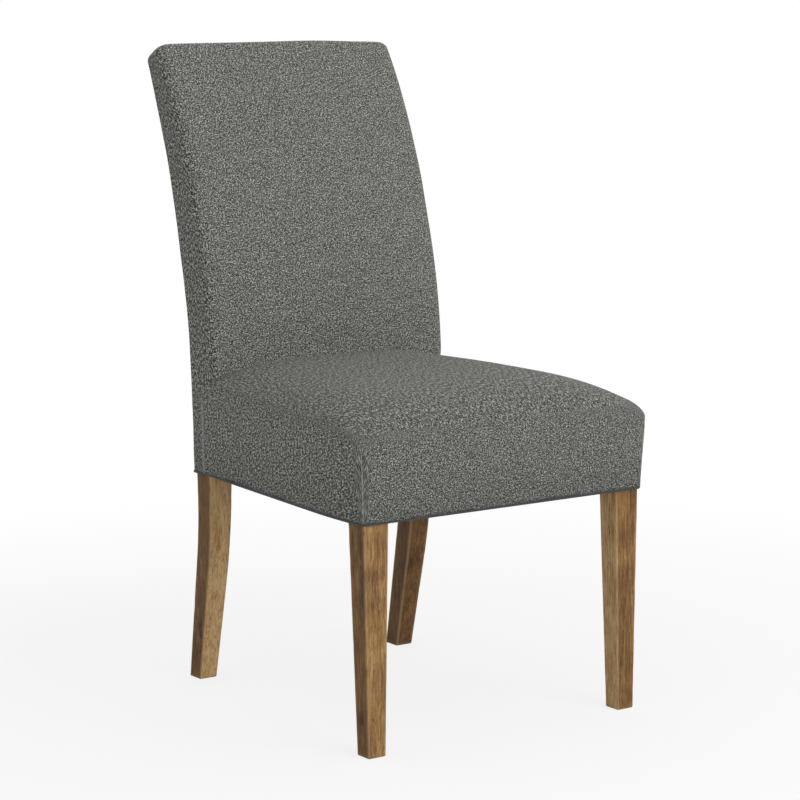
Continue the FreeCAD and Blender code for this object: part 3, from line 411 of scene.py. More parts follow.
def oak_finish(name):
    """Brown stained oak, distressed: open grain, knots, short cracks, and arrises pale from wear and
    painted highlight.
    """
    finish = Finish(name)
    places = finish.places()
    x, y, z = finish.axes(places)
    bend = finish.noise(places, 9.0, 2.0, output=1)
    bx, by, _ = finish.axes(bend)
    # Grain: noise over the board's cross section, drawn out along its height.
    plank = finish.vector(x + (bx - 0.5) * 0.012, y + (by - 0.5) * 0.012, z * 0.09)
    broad = finish.noise(plank, 80.0, 3.0, 0.6)
    fine = finish.noise(finish.scaled(plank, (1.0, 1.0, 0.8)), 420.0, 3.0, 0.65)
    pores = finish.noise(finish.scaled(places, (1.0, 1.0, 0.16)), 800.0, 2.0, 0.6)
    streak = finish.noise(finish.scaled(plank, (1.0, 1.0, 0.3)), 160.0, 2.0, 0.55)
    cloudy = finish.noise(places, 16.0, 3.0, 0.6)
    # Painted light and shade of each face, partly the wood's own tone.
    painted_light_and_tone = finish.attribute("painted_light_and_tone")
    tone = broad * 0.42 + fine * 0.8 + cloudy * 0.42 + painted_light_and_tone * 0.2 - 0.52
    color = finish.ramp(tone, [
        (0.2, (70, 43, 17)),
        (0.42, (115, 81, 39)),
        (0.55, (143, 107, 60)),
        (0.75, (178, 144, 93)),
    ])
    shadow = finish.vector(painted_light_and_tone ** 0.4, painted_light_and_tone ** 0.5, painted_light_and_tone ** 0.75)
    color = finish.mix(1.0, color, shadow, "MULTIPLY")
    # Dark marks: cracks, knots, worm marks in patches, and open pores.
    crack = streak.above(0.60, 0.68) * finish.noise(places, 60.0, 2.0).above(0.48, 0.6)
    knots = finish.cells(finish.scaled(places, (1.0, 1.0, 0.45)), 26.0)
    knot = 1.0 - knots.above(0.06, 0.24)
    worm = 1.0 - finish.cells(finish.scaled(places, (1.0, 1.0, 0.22)), 190.0).above(0.05, 0.22)
    worm = worm * finish.noise(places, 34.0, 1.0).above(0.52, 0.62)
    pore = pores.above(0.58, 0.68) * 0.5
    dark = (crack * 0.6 + knot * 0.5 + worm * 0.8 + pore).clamp()
    color = finish.mix(dark, color, (52, 34, 19))
    # Pale arrises: partly wear, partly a painted highlight on the rounded edges.
    arris = finish.attribute("arris")
    chafe = finish.noise(places, 45.0, 2.0).above(0.15, 0.5)
    wear_and_highlight = (arris * chafe * 0.38).clamp()
    color = finish.mix(wear_and_highlight, color, (192, 160, 115))
    relief = fine * 0.35 + broad * 0.25 - dark * 0.9
    normal = finish.bump(relief, 0.5 * MM, 0.7)
    rough = 0.58 + dark * 0.25 + (fine - 0.5) * 0.2
    return finish.surface(Base_Color=color, Roughness=rough, Normal=normal, Specular_IOR_Level=0.35)


def sawn_wood_finish(name, along):
    """Unfinished sawn hardwood; along is the grain's axis."""
    finish = Finish(name)
    places = finish.places()
    stretch = tuple(0.06 if i == along else 1.0 for i in range(3))
    grain = finish.scaled(places, stretch)
    broad = finish.noise(grain, 70.0, 3.0, 0.6)
    fine = finish.noise(grain, 520.0, 2.0)
    stops = [(0.3, (158, 121, 82)), (0.5, (190, 155, 112)), (0.7, (212, 182, 140))]
    tone = broad * 0.7 + fine * 0.3
    return finish.simple(tone, stops, fine + broad * 0.5, 0.3 * MM, 0.5, Roughness=0.8)


def strap_finish(name, along):
    """Brown woven webbing, ribbed both ways; along is the strap's axis, 0 or 1."""
    finish = Finish(name)
    x, y, z = finish.axes(finish.places())
    run, side = ((x, z), (y, x))[along]
    ribs = (run * (math.tau / STRAP_RIB)).cosine()
    lines = (side * (math.tau / STRAP_LINE)).cosine()
    tone = ribs * 0.2 + lines * 0.2 + finish.noise(finish.places(), 300.0, 2.0) * 0.5 + 0.25
    stops = [(0.2, (84, 66, 46)), (0.6, (132, 108, 78)), (0.9, (160, 134, 100))]
    return finish.simple(tone, stops, ribs * lines, 0.3 * MM, 0.6, Roughness=0.85, Sheen_Weight=0.1)


def plain_cloth_finish(name, dark, light, pitch):
    """Plain woven or bonded cloth with a fine even texture."""
    finish = Finish(name)
    places = finish.places()
    x, y, _ = finish.axes(places)
    dimple = (x * (math.tau / pitch)).cosine() * (y * (math.tau / pitch)).cosine()
    cloudy = finish.noise(places, 120.0, 3.0)
    tone = dimple * 0.18 + cloudy * 0.7 + 0.1
    stops = [(0.25, dark), (0.75, light)]
    relief = dimple * 0.5 + cloudy
    return finish.simple(tone, stops, relief, 0.25 * MM, 0.6, Roughness=0.9, Sheen_Weight=0.08)


def zinc_finish(name):
    """Zinc plated steel with faint spangle and tarnish."""
    finish = Finish(name)
    places = finish.places()
    spangle = finish.cells(places, 700.0)
    dull = finish.noise(places, 240.0, 3.0)
    rough = 0.28 + dull * 0.2 + spangle * 0.1
    stops = [(0.3, (150, 150, 148)), (0.7, (196, 196, 192))]
    return finish.simple(dull, stops, dull, 0.1 * MM, 0.3, Metallic=1.0, Roughness=rough)


def welt_finish(name):
    """Dark blue-grey twisted cord."""
    finish = Finish(name)
    along, around, _ = finish.axes(finish.cloth())
    twist = (along * (math.tau / WELT_TWIST) + around * math.tau * WELT_PLIES).cosine()
    fuzz = finish.noise(finish.places(), 900.0, 2.0)
    stops = [(0.2, (28, 31, 33)), (0.6, (56, 61, 63)), (0.95, (92, 97, 97))]
    tone = twist * 0.25 + fuzz * 0.6 + 0.15
    relief = twist * 0.6 + fuzz * 0.4
    return finish.simple(tone, stops, relief, 0.3 * MM, 0.8, Roughness=0.85, Sheen_Weight=0.15)


# Meshes from grids of points.

def put(name, data):
    """New object of a mesh, light or camera, in the scene."""
    made = bpy.data.objects.new(name, data)
    bpy.context.scene.collection.objects.link(made)
    return made


def link(name, mesh, material):
    piece = put(name, mesh)
    mesh.materials.append(material)
    mesh.shade_smooth()
    return piece


def add_values(mesh, name, values):
    """Number at every point of a mesh, for its finish."""
    layer = mesh.attributes.new(name, "FLOAT", "POINT")
    layer.data.foreach_set("value", values.reshape(-1).astype(np.float32))


def grid_normals(points):
    """Outward normals of a grid that closes on itself along each row."""
    along = np.roll(points, -1, axis=1) - np.roll(points, 1, axis=1)
    up = np.gradient(points, axis=0)
    normals = np.cross(along, up)
    length = np.linalg.norm(normals, axis=2, keepdims=True)
    return normals / np.maximum(length, 1e-12)


def column_lengths(points):
    """Distance run up each column from the first row."""
    steps = np.linalg.norm(np.diff(points, axis=0), axis=2)
    return np.vstack([np.zeros((1, points.shape[1])), np.cumsum(steps, axis=0)])


def ruffle(points, scale, depth, seed):
    """Smooth random heights for an array of points."""
    flat = points.reshape(-1, 3)
    heights = [noise.noise(Vector(p) * scale + Vector((seed, seed, seed))) for p in flat]
    return depth * np.array(heights).reshape(points.shape[:-1] + (1,))


def mirrored(x, depth):
    """Closed outline from its half: right side as given, left side mirrored."""
    return np.concatenate([x, -x[-2:0:-1]]), np.concatenate([depth, depth[-2:0:-1]])


def beside(columns):
    """How many columns each one is from the middle of the front."""
    return np.minimum(np.arange(columns), columns - np.arange(columns))


def grid_faces(rows, columns, keep=None):
    """Faces between the rows of a closed grid; keep(row, column) chooses them."""
    faces = []
    for r in range(rows - 1):
        low, high = r * columns, (r + 1) * columns
        for c in range(columns):
            if keep is None or keep(r, c):
                d = (c + 1) % columns
                faces.append((low + c, low + d, high + d, high + c))
    return faces


def used_points(faces):
    return sorted({i for face in faces for i in face})


def build_mesh(name, points, faces, corner_cloth, material):
    """Mesh with a cloth map given at every face corner; unused points are dropped."""
    used = used_points(faces)
    index = {old: new for new, old in enumerate(used)}
    mesh = bpy.data.meshes.new(name)
    mesh.from_pydata([points[i] for i in used], [], [tuple(index[i] for i in face) for face in faces])
    layer = mesh.uv_layers.new(name="cloth")
    spread = np.array([place for face in corner_cloth for place in face], np.float32)
    layer.data.foreach_set("uv", spread.ravel())
    mesh.validate()
    return link(name, mesh, material)


def mark_facing(piece):
    """Note how far each point faces sideways and upward, for the slubs of the weave and the painted
    shade on sideways faces.
    """
    mesh = piece.data
    normals = np.empty(len(mesh.vertices) * 3, np.float32)
    mesh.vertex_normals.foreach_get("vector", normals)
    normals = normals.reshape(-1, 3)
    add_values(mesh, "sideways", np.abs(normals[:, 0]))
    add_values(mesh, "upward", np.maximum(normals[:, 2], 0.0))


def thicken(piece):
    """Give a cover its cloth thickness, inwards."""
    solid = piece.modifiers.new("Thickness", "SOLIDIFY")
    solid.thickness = COVER_THICK
    solid.offset = -1.0
    solid.use_even_offset = False
    bake_modifiers(piece)


def bake_modifiers(piece):
    """Apply every modifier of a piece."""
    depsgraph = bpy.context.evaluated_depsgraph_get()
    mesh = bpy.data.meshes.new_from_object(piece.evaluated_get(depsgraph))
    piece.modifiers.clear()
    piece.data = mesh
    return piece


# Seat upholstery.

FRONT_STEPS = 40
CORNER_SIDE_STEPS = 6
SIDE_STEPS = 66
REAR_STEPS = 10
SIDE_ROWS = 26
SHOULDER_ROWS = 22
CROWN_ROWS = 26
DOME_RINGS = 15
DOME_LAST = 0.04
MITRE = FRONT_STEPS + CORNER_SIDE_STEPS + 1

# Columns over which the two cloth maps of the seat blend.
MAP_SHARP = 0.001
MAP_START = 0.5
MAP_BLEND = 8.0


def corner_angles(radius, start):
    """Angles round a front corner, from the front to the side, close together at the mitre seam."""
    middle = start / 2
    gap = min(SEAM_HALF / radius, middle / 3)
    first = np.linspace(start, middle + gap, CORNER_SIDE_STEPS + 1)
    second = np.linspace(middle - gap, 0.0, CORNER_SIDE_STEPS + 1)
    return np.concatenate([first, [middle], second])


def eased_run(distance, width):
    """A ramp whose start is rounded over a width."""
    return np.where(distance < -width, 0.0,
                    np.where(distance > width, distance, (distance + width) ** 2 / (4 * width)))


def seat_ring(front_level, rear_level, lean, run_in, corner, bulge):
    """Closed outline of the seat at one row, starting at the middle of the front."""
    front = HEM_FRONT - lean + run_in
    half = HEM_HALF + lean - run_in
    slope = (HEM_HALF - BACK_HALF) / (STRIP - SIDE_BEND)
    past = STRIP + SEAT_PAST
    rear_half = BACK_HALF - run_in - SEAT_PAST * slope
    tilt = math.atan(2 * bulge / (half - corner))
    angles = corner_angles(corner, math.pi / 2 - tilt)
    corner_x = half - corner + corner * np.cos(angles)
    corner_y = front + corner - corner * np.sin(angles)
    front_x = np.linspace(0.0, corner_x[0], FRONT_STEPS + 1)[:-1]
    front_y = corner_y[0] - bulge * (1 - (front_x / corner_x[0]) ** 2)
    side_y = np.linspace(corner_y[-1], past, SIDE_STEPS + 1)[1:]
    bend = max(SIDE_BEND, corner_y[-1] + LEAST_STRAIGHT) + BEND_SOFT
    run = eased_run(side_y - bend, BEND_SOFT) - eased_run(corner_y[-1] - bend, BEND_SOFT)
    side_x = half - (half - rear_half) * run / (past - bend)
    rear_x = np.linspace(side_x[-1], 0.0, REAR_STEPS + 1)[1:]
    x = np.concatenate([front_x, corner_x, side_x, rear_x])
    y = np.concatenate([front_y, corner_y, side_y, np.full(REAR_STEPS, past)])
    x, y = mirrored(x, y)
    z = front_level + (rear_level - front_level) / (STRIP - HEM_FRONT) * (y - HEM_FRONT)
    return np.stack([x, y, z], axis=1)


def seat_rows():
    """Outline settings from the turned-under edge to the crown, and the rows that end the sides."""
    rows = []
    under = HEM + COVER_THICK
    for run_in in UNDER_RUNS:
        rows.append((under, under, 0.0, run_in, max(HEM_CORNER - run_in, LEAST_CORNER), HEM_BOW))
    rows.append((HEM + HEM_ROUND_UP, HEM + HEM_ROUND_UP, 0.0, HEM_ROUND_IN, HEM_CORNER, HEM_BOW))
    low_turn = math.radians(SHOULDER_FROM)
    last = math.radians(SHOULDER_TURN)
    low_share = SHOULDER_SHARE * math.sin(low_turn) / math.sin(last)
    front_side, rear_side = crown_levels(low_share)
    for k in range(SIDE_ROWS):
        part = k / SIDE_ROWS
        rows.append((HEM + part * (front_side - HEM), HEM + part * (rear_side - HEM),
                     SEAT_LEAN * part ** LEAN_EASE, 0.0, HEM_CORNER + part * (SIDE_CORNER - HEM_CORNER),
                     HEM_BOW + part * (SEAT_BULGE - HEM_BOW)))
    sides_end = len(rows)
    for angle in np.linspace(low_turn, last, SHOULDER_ROWS):
        share = SHOULDER_SHARE * math.sin(angle) / math.sin(last)
        turned = max(math.degrees(angle), 0.0) / SHOULDER_TURN
        grow = SIDE_CORNER + (SHOULDER_CORNER - SIDE_CORNER) * turned ** SHOULDER_GROW
        rows.append(crown_row(share, SHOULDER_IN * (1 - math.cos(angle)), grow))
    start = SHOULDER_IN * (1 - math.cos(last))
    whole = HEM_HALF - start
    for part in np.linspace(0.0, 1.0, CROWN_ROWS + 1)[1:]:
        run_in = start + (CROWN_IN - start) * part
        left = (1 - (run_in - start) / whole) ** CROWN_STEEP
        share = SHOULDER_SHARE + (1 - SHOULDER_SHARE) * (1 - left)
        corner = grow + (CROWN_CORNER - grow) * min(part / CROWN_GROWN_AT, 1.0)
        corner = min(corner, HEM_HALF - run_in - CROWN_LEAST_FRONT)
        rows.append(crown_row(share, run_in, corner))
    return rows, sides_end


def crown_levels(share):
    """Front and rear level at a share of the rise from the sides' top to the crown."""
    return (SEAT_SIDE_FRONT + share * (CROWN_FRONT - SEAT_SIDE_FRONT),
            SEAT_SIDE_REAR + share * (CROWN_REAR - SEAT_SIDE_REAR))


def crown_row(share, run_in, corner):
    return *crown_levels(share), SEAT_LEAN, run_in, corner, SEAT_BULGE


def seat_cloth_map(points, flat_from, sides_end):
    """Two cloth maps, as if laid from the front and from the sides, and the share of the second."""
    lengths = column_lengths(points)
    down = np.maximum(lengths[flat_from] - lengths, 0.0)
    x, y = points[..., 0], points[..., 1]
    edge = points[np.maximum(np.arange(len(points)), flat_from)]
    from_front = np.stack([x, edge[..., 1] - down], axis=2)
    from_side = np.stack([edge[..., 0] + np.sign(x) * down, y], axis=2)
    width = np.full(len(points), MAP_SHARP)
    width[sides_end:flat_from] = np.linspace(MAP_START, MAP_BLEND, flat_from - sides_end)
    width[flat_from:] = MAP_BLEND
    share = np.clip((beside(points.shape[1])[None, :] - MITRE) / width[:, None] + 0.5, 0.0, 1.0)
    return from_front, from_side, share


def seat_cover():
    """Seat cover: crowned top, drawn-in sides, mitred front corners, turned under at the hem."""
    rows, sides_end = seat_rows()
    points = np.stack([seat_ring(*row) for row in rows])
    rim = points[-1]
    centre = rim.mean(axis=0)
    slope = (CROWN_REAR - CROWN_FRONT) / (STRIP - HEM_FRONT)
    inner = []
    for k in np.linspace(1.0, DOME_LAST, DOME_RINGS + 1)[1:]:
        ring = centre + (rim - centre) * k
        ring[:, 2] = CROWN_FRONT + slope * (ring[:, 1] - HEM_FRONT) + CROWN_DOME * (1 - k * k)
        inner.append(ring)
    points = np.concatenate([points, np.stack(inner)])
    normals = grid_normals(points)
    from_front, from_side, share = seat_cloth_map(points, sides_end + SHOULDER_ROWS - 1, sides_end)
    columns = points.shape[1]
    low = np.clip((MITRE_TOP - points[..., 2]) / MITRE_FADE, 0.0, 1.0)[..., None]
    fade = np.ones_like(low)
    fade[:len(UNDER_RUNS)] = 0.0
    pucker = np.zeros_like(low)
    mitres = (MITRE, columns - MITRE)
    for middle in mitres:
        pucker[:, middle] = -MITRE_DEEP
        for side in (-1, 1):
            pucker[:, middle + side] = MITRE_LIP
            for step in range(2, PUCKER_COLUMNS):
                column = middle + side * step
                wave = np.sin(points[:, column, 2] / PUCKER_PITCH * math.tau + step * PUCKER_SHIFT)
                pucker[:, column, 0] += PUCKER * wave * (1 - step / PUCKER_COLUMNS)
    soft = sum(ruffle(points, *rise) for rise in SEAT_SOFT)
    points = points + normals * (pucker * low * fade + soft * fade)
    faces = grid_faces(len(points), columns)
    maps = []
    flat_front = from_front.reshape(-1, 2)
    flat_side = from_side.reshape(-1, 2)
    flat_share = share.reshape(-1)
    for face in faces:
        row, column = divmod(face[0], columns)
        place = min(column + 0.5, columns - column - 0.5)
        part = None if row >= sides_end else float(place > MITRE)
        corners = []
        for i in face:
            w = flat_share[i] if part is None else part
            corners.append(flat_front[i] * (1 - w) + flat_side[i] * w)
        maps.append(corners)
    flat = points.reshape(-1, 3)
    cap = tuple(range((len(points) - 1) * columns, len(points) * columns))
    faces.append(cap)
    maps.append([flat[i][:2] for i in cap])
    piece = build_mesh("seat_cover_tweed", flat, faces, maps, seat_tweed_painted_shade)
    mark_facing(piece)
    # Painted highlight along the mitre seams.
    seam = np.zeros(points.shape[:2])
    seam[:, mitres] = low[:, mitres, 0]
    add_values(piece.data, "seam", seam)
    thicken(piece)
    return piece


# Back upholstery.

FACE_STEPS = 42
EDGE_STEPS = 8
BORDER_STEPS = 8
REAR_EDGE_STEPS = 6
STRIP_ROWS = 24
TUCK_ROWS = 15
BACK_ROWS = 90
TOP_ROWS = 14
SEAM_COLUMN = FACE_STEPS + EDGE_STEPS + BORDER_STEPS + 2


def bowed(start, radius, level, from_level):
    """Depth of a raked face at a level: straight up, then on an arc."""
    rise = max(level - from_level, 0.0)
    return start + radius - math.sqrt(radius ** 2 - rise ** 2)


def back_ring(level, front, edge, crown, drop=0.0, side_in=0.0, front_in=0.0, rear_in=0.0):
    """Closed outline of the back at one row, starting at the middle of the front."""
    rear_level = level - drop
    near = np.array([0.0, front, level])
    far = np.array([0.0, bowed(BACK_REAR, BACK_REAR_RADIUS, rear_level, RAKE_REAR_START), rear_level])
    thick = np.linalg.norm(far - near)
    across = (far - near) / thick
    end = thick - rear_in
    half = BACK_HALF - side_in
    edge = min(edge, end - front_in - BACK_REAR_EDGE - BORDER_LEAST)
    tilt = math.atan(2 * crown / (half - edge))
    angles = np.linspace(math.pi / 2 - tilt, 0.0, EDGE_STEPS + 1)
    edge_x = half - edge + edge * np.cos(angles)
    edge_v = front_in + edge - edge * np.sin(angles)
    face_x = np.linspace(0.0, edge_x[0], FACE_STEPS + 1)[:-1]
    face_v = edge_v[0] - crown * (1 - (face_x / edge_x[0]) ** 2)
    border_v = np.linspace(edge_v[-1], end - BACK_REAR_EDGE, BORDER_STEPS + 1)[1:]
    turns = np.linspace(0.0, math.pi / 2, REAR_EDGE_STEPS + 1)[1:]
    turn_x = half - BACK_REAR_EDGE * (1 - np.cos(turns))
    turn_v = end - BACK_REAR_EDGE * (1 - np.sin(turns))
    rear_x = np.linspace(turn_x[-1], 0.0, FACE_STEPS + 1)[1:]
    x = np.concatenate([face_x, edge_x, np.full(BORDER_STEPS, half), turn_x, rear_x])
    v = np.concatenate([face_v, edge_v, border_v, turn_v, np.full(FACE_STEPS, end)])
    x, v = mirrored(x, v)
    ring = near + across * v[:, None]
    ring[:, 0] = x
    return ring


def back_rows():
    """Rings of the back from the hem to the top, and the row of the seam over the top."""
    narrow = BACK_EDGE * STRIP_EDGE_SHARE
    under = HEM + COVER_THICK
    rings = [back_ring(under, STRIP, narrow, BACK_LEAST_CROWN, side_in=TURN_UNDER, rear_in=TURN_UNDER)]
    for level in np.linspace(HEM, STRIP_TOP, STRIP_ROWS)[:-1]:
        rings.append(back_ring(level, STRIP, narrow, BACK_LEAST_CROWN))
    for share in np.linspace(0.0, 1.0, TUCK_ROWS)[:-1]:
        level = STRIP_TOP + (TUCK_TOP - STRIP_TOP) * share
        ease = (1 - share) ** 2
        front = bowed(BACK_FRONT, BACK_FRONT_RADIUS, level, RAKE_FRONT_START) * (1 - ease) + STRIP * ease
        edge = BACK_EDGE * (1 - (1 - STRIP_EDGE_SHARE) * ease)
        crown = max(BACK_CROWN * (1 - ease), BACK_LEAST_CROWN)
        rings.append(back_ring(level, front, edge, crown))
    round_start = BACK_TOP - TOP_EDGE
    for level in np.linspace(TUCK_TOP, round_start, BACK_ROWS):
        rings.append(raked_ring(level, 0.0))
    seam_row = None
    for angle in np.linspace(0.0, math.pi / 2, TOP_ROWS)[1:]:
        away = 1 - math.cos(angle)
        if seam_row is None and TOP_REAR_EDGE * away > REAR_SEAM_IN:
            seam_row = len(rings)
        rings.append(raked_ring(round_start + TOP_EDGE * math.sin(angle), away))
    return rings, seam_row


def raked_ring(level, away):
    """Ring of the raked back; away is how far the top's rounding has run in, from 0 to 1."""
    share = max((level - TUCK_TOP) / (BACK_TOP - TUCK_TOP), 0.0)
    front = bowed(BACK_FRONT, BACK_FRONT_RADIUS, level, RAKE_FRONT_START)
    side_in = TOP_CORNER * away ** TOP_CORNER_POWER
    edge = BACK_EDGE * (1 - TOP_EDGE_LESS * away)
    crown = BACK_CROWN * (1 - away) + BACK_LEAST_CROWN
    return back_ring(level, front, edge, crown, BACK_TOP_DROP * share, side_in,
                     TOP_EDGE * away, TOP_REAR_EDGE * away)


def top_rings(ring):
    """Rings that close the top down to a narrow slot, slightly crowned."""
    columns = len(ring)
    opposite = (columns // 2 - np.arange(columns)) % columns
    across = (ring[opposite] - ring) / 2
    rings = []
    for share in TOP_SHARES:
        inner = ring + across * share
        inner[:, 0] = ring[:, 0] * (1 - TOP_NARROW * share)
        inner[:, 2] += TOP_RISE * (1 - (1 - share) ** 2)
        rings.append(inner)
    return rings


def back_cloth_map(faces, around, up):
    """Cloth map of the back: round it from the middle of the front, and up each column."""
    columns = len(around) - 1
    maps = []
    for face in faces:
        on_left = face[0] % columns >= columns // 2
        corners = []
        for i in face:
            row, column = divmod(i, columns)
            back_by = around[-1] if on_left and column else 0.0
            corners.append((around[column] - back_by, up[row, column]))
        maps.append(corners)
    return maps


def back_covers():
    """Inside back with its borders and top, and the outside back set in behind the seam."""
    rings, seam_row = back_rows()
    outline_rows = len(rings)
    rings += top_rings(rings[-1])
    points = np.stack(rings)
    columns = points.shape[1]
    normals = grid_normals(points)
    soft = sum(ruffle(points, *rise) for rise in BACK_SOFT)
    place = beside(columns)
    groove = np.zeros(points.shape[:2])
    groove[:seam_row + 1, place == SEAM_COLUMN] = -BACK_SEAM_DEEP
    groove[seam_row, place > SEAM_COLUMN] = -BACK_SEAM_DEEP
    ridge_columns = (place >= FACE_STEPS + EDGE_STEPS) & (place <= FACE_STEPS + EDGE_STEPS + 1)
    ridge_rise = np.clip((STRIP_TOP + RIDGE_PAST - points[:, 0, 2]) / RIDGE_FADE, 0.0, 1.0)
    ridge = ridge_rise[:, None] * ridge_columns[None, :]
    groove += RIDGE * ridge
    points = points + normals * (groove[..., None] + soft)
    up = column_lengths(points)
    reference = points[outline_rows // 2]
    steps = np.linalg.norm(np.roll(reference, -1, axis=0) - reference, axis=1)
    around = np.concatenate([[0.0], np.cumsum(steps)])
    behind = place + (np.arange(columns) < columns // 2) > SEAM_COLUMN
    rear_faces = grid_faces(len(points), columns, lambda r, c: r < seam_row and behind[c])
    front_faces = grid_faces(len(points), columns, lambda r, c: not (r < seam_row and behind[c]))
    base = (len(points) - 1) * columns
    for c in (*range(columns // 4), *range(columns - columns // 4, columns)):
        opposite = base + columns // 2 - c + (0 if c < columns // 2 else columns)
        front_faces.append((base + c, base + (c + 1) % columns, opposite - 1, opposite))
    covers = []
    for name, faces in (("inside_back_tweed", front_faces), ("outside_back_tweed", rear_faces)):
        piece = build_mesh(name, points.reshape(-1, 3), faces, back_cloth_map(faces, around, up), tweed)
        # Painted highlight along the ridge at the front edge of the back's side strips.
        add_values(piece.data, "seam", (ridge * RIDGE_PAINTED_HIGHLIGHT).reshape(-1)[used_points(faces)])
        mark_facing(piece)
        thicken(piece)
        covers.append(piece)
    return covers


# Legs.

LEG_FACE_STEPS = 14
LEG_ARRIS_STEPS = 4
LEG_ROW = 2.2 * MM
HIDDEN_ROW = 12.0 * MM
ARRIS = 1.5 * MM
ARRIS_WEAR = 1.0 * MM
FOOT_ROUND = ((1.4 * MM, 0.0), (0.5 * MM, 0.5 * MM))
FOOT_START = 2.0 * MM
FOOT_WEAR = 3.0 * MM

# Dents on the arrises and gouges along the grain: scale, least height and seed.
DENT = (60.0, 0.12, 2.0)
GOUGE = (210.0, 0.3, 8.0)
GOUGE_STRETCH = np.array([1.0, 1.0, 0.35])
DENT_DEEP = 0.4 * MM
TIMBER_SOFT = (30.0, 0.12 * MM, 4.0)


def leg_ring(x0, x1, y0, y1, level):
    """Rectangle with rounded arrises, and how near each of its points is to an arris."""
    radius = ARRIS
    xs, ys, near = [], [], []
    corners = ((x1 - radius, y0 + radius, -90), (x1 - radius, y1 - radius, 0),
               (x0 + radius, y1 - radius, 90), (x0 + radius, y0 + radius, 180))
    for k, (cx, cy, start) in enumerate(corners):
        for angle in np.radians(np.linspace(start, start + 90, LEG_ARRIS_STEPS + 1)):
            xs.append(cx + radius * math.cos(angle))
            ys.append(cy + radius * math.sin(angle))
            near.append(1.0)
        nx, ny, turn = corners[(k + 1) % 4]
        ex = nx + radius * math.cos(math.radians(turn))
        ey = ny + radius * math.sin(math.radians(turn))
        sx, sy = xs[-1], ys[-1]
        for t in np.linspace(0.0, 1.0, LEG_FACE_STEPS + 1)[1:-1]:
            xs.append(sx + (ex - sx) * t)
            ys.append(sy + (ey - sy) * t)
            away = min(t, 1 - t) * math.hypot(ex - sx, ey - sy)
            near.append(math.exp(-away / ARRIS_WEAR))
    return np.stack([xs, ys, np.full(len(xs), level)], axis=1), np.array(near)


def hollows(points, scale, least, seed):
    """How far random heights rise past a least one."""
    return np.clip(ruffle(points, scale, 1.0, seed), least, 1.0) - least


def worn_timber(name, edges, side, top, front_light_and_tone, side_light_and_tone):
    """Leg or post: edges(side, level) gives its four faces; the tones are painted light and wood tone.
    """
    levels = [*np.arange(FOOT_START, HEM, LEG_ROW), *np.arange(HEM, top, HIDDEN_ROW), top]
    rings, wears = [], []
    for inset, level in (*FOOT_ROUND, *((0.0, level) for level in levels)):
        x0, x1, y0, y1 = edges(side, level)
        ring, near = leg_ring(x0 + inset, x1 - inset, y0 + inset, y1 - inset, level)
        rings.append(ring)
        wears.append(np.maximum(near, 1.0 if inset else math.exp(-level / FOOT_WEAR)))
    points = np.stack(rings)
    wear = np.stack(wears)
    normals = grid_normals(points)
    dent = hollows(points, *DENT)
    gouge = hollows(points * GOUGE_STRETCH, *GOUGE)
    push = -dent * wear[..., None] * DENT_DEEP - gouge * DENT_DEEP + ruffle(points, *TIMBER_SOFT)
    points = points + normals * push
    rows, columns = points.shape[:2]
    faces = grid_faces(rows, columns)
    faces.append(tuple(range(columns))[::-1])
    faces.append(tuple(range((rows - 1) * columns, rows * columns)))
    mesh = bpy.data.meshes.new(name)
    mesh.from_pydata(points.reshape(-1, 3), [], faces)
    add_values(mesh, "arris", wear)
    # Painted light and shade of the faces, partly the wood's own tone, from front to side.
    add_values(mesh, "painted_light_and_tone", front_light_and_tone + (side_light_and_tone - front_light_and_tone) * np.abs(normals[..., 0]))
    mesh.validate()
    return link(name, mesh, oak)


def front_leg_edges(side, level):
    """Faces of a front leg: a taper up to the hem, square above."""
    part = min(level / HEM, 1.0)
    outer = LEG_OUTER - FOOT_OUTER_IN * (1 - part)
    wide = FOOT + (LEG_WIDE - FOOT) * part
    front = -LEG_FRONT + FOOT_FRONT_IN * (1 - part)
    deep = FOOT + (LEG_DEEP - FOOT) * part
    return *sorted((side * (outer - wide), side * outer)), front, front + deep


def swept(level, slope, low, high):
    """Run back of a leg edge: straight below, on an arc up to the upright part."""
    turn = math.atan(slope)
    radius = (high - low) / math.sin(turn)
    at_low = radius * (1 - math.cos(turn))
    if level >= high:
        return 0.0
    if level >= low:
        return radius - math.sqrt(radius ** 2 - (high - level) ** 2)
    return at_low + slope * (low - level)


def post_edges(side, level):
    """Faces of a rear post: swept leg below, raked upright above."""
    part = min(level / HEM, 1.0)
    outer = POST_OUTER - POST_FOOT_IN * (1 - part)
    inner = POST_OUTER - POST_WIDE + (POST_WIDE - POST_FOOT_WIDE - POST_FOOT_IN) * (1 - part)
    front = POST_FRONT + swept(level, *SWEEP_FRONT)
    rear = POST_FRONT + POST_DEEP + swept(level, *SWEEP_REAR)
    if level > RAKE_FRONT_START:
        front = bowed(POST_FRONT, POST_FRONT_RADIUS, level, RAKE_FRONT_START)
    if level > RAKE_REAR_START:
        rear = bowed(POST_FRONT + POST_DEEP, POST_REAR_RADIUS, level, RAKE_REAR_START)
    return *sorted((side * inner, side * outer)), front, rear


# Welt round the hem.

def welt_path():
    """Middle line of the welt: the hem's outline, front, sides, strips and rear."""
    inset = WELT_RADIUS - WELT_PROUD
    level = HEM - WELT_RADIUS
    ring = seat_ring(level, level, 0.0, inset, HEM_CORNER, HEM_BOW)
    half = ring[(ring[:, 0] >= 0.0) & (ring[:, 1] < STRIP - WELT_AHEAD)]
    x, y = BACK_HALF - inset, BACK_REAR - inset
    turn = max(BACK_REAR_EDGE - inset, 2 * WELT_RADIUS)
    rear = [(x, STRIP, level), (x, (STRIP + y) / 2, level)]
    for angle in np.linspace(0.0, math.pi / 2, WELT_TURNS):
        rear.append((x - turn + turn * math.cos(angle), y - turn + turn * math.sin(angle), level))
    rear += [(x * part, y, level) for part in WELT_REAR_SHARES]
    right = np.concatenate([half, rear])
    left = right[-2:0:-1] * np.array([-1.0, 1.0, 1.0])
    return np.concatenate([right, left])


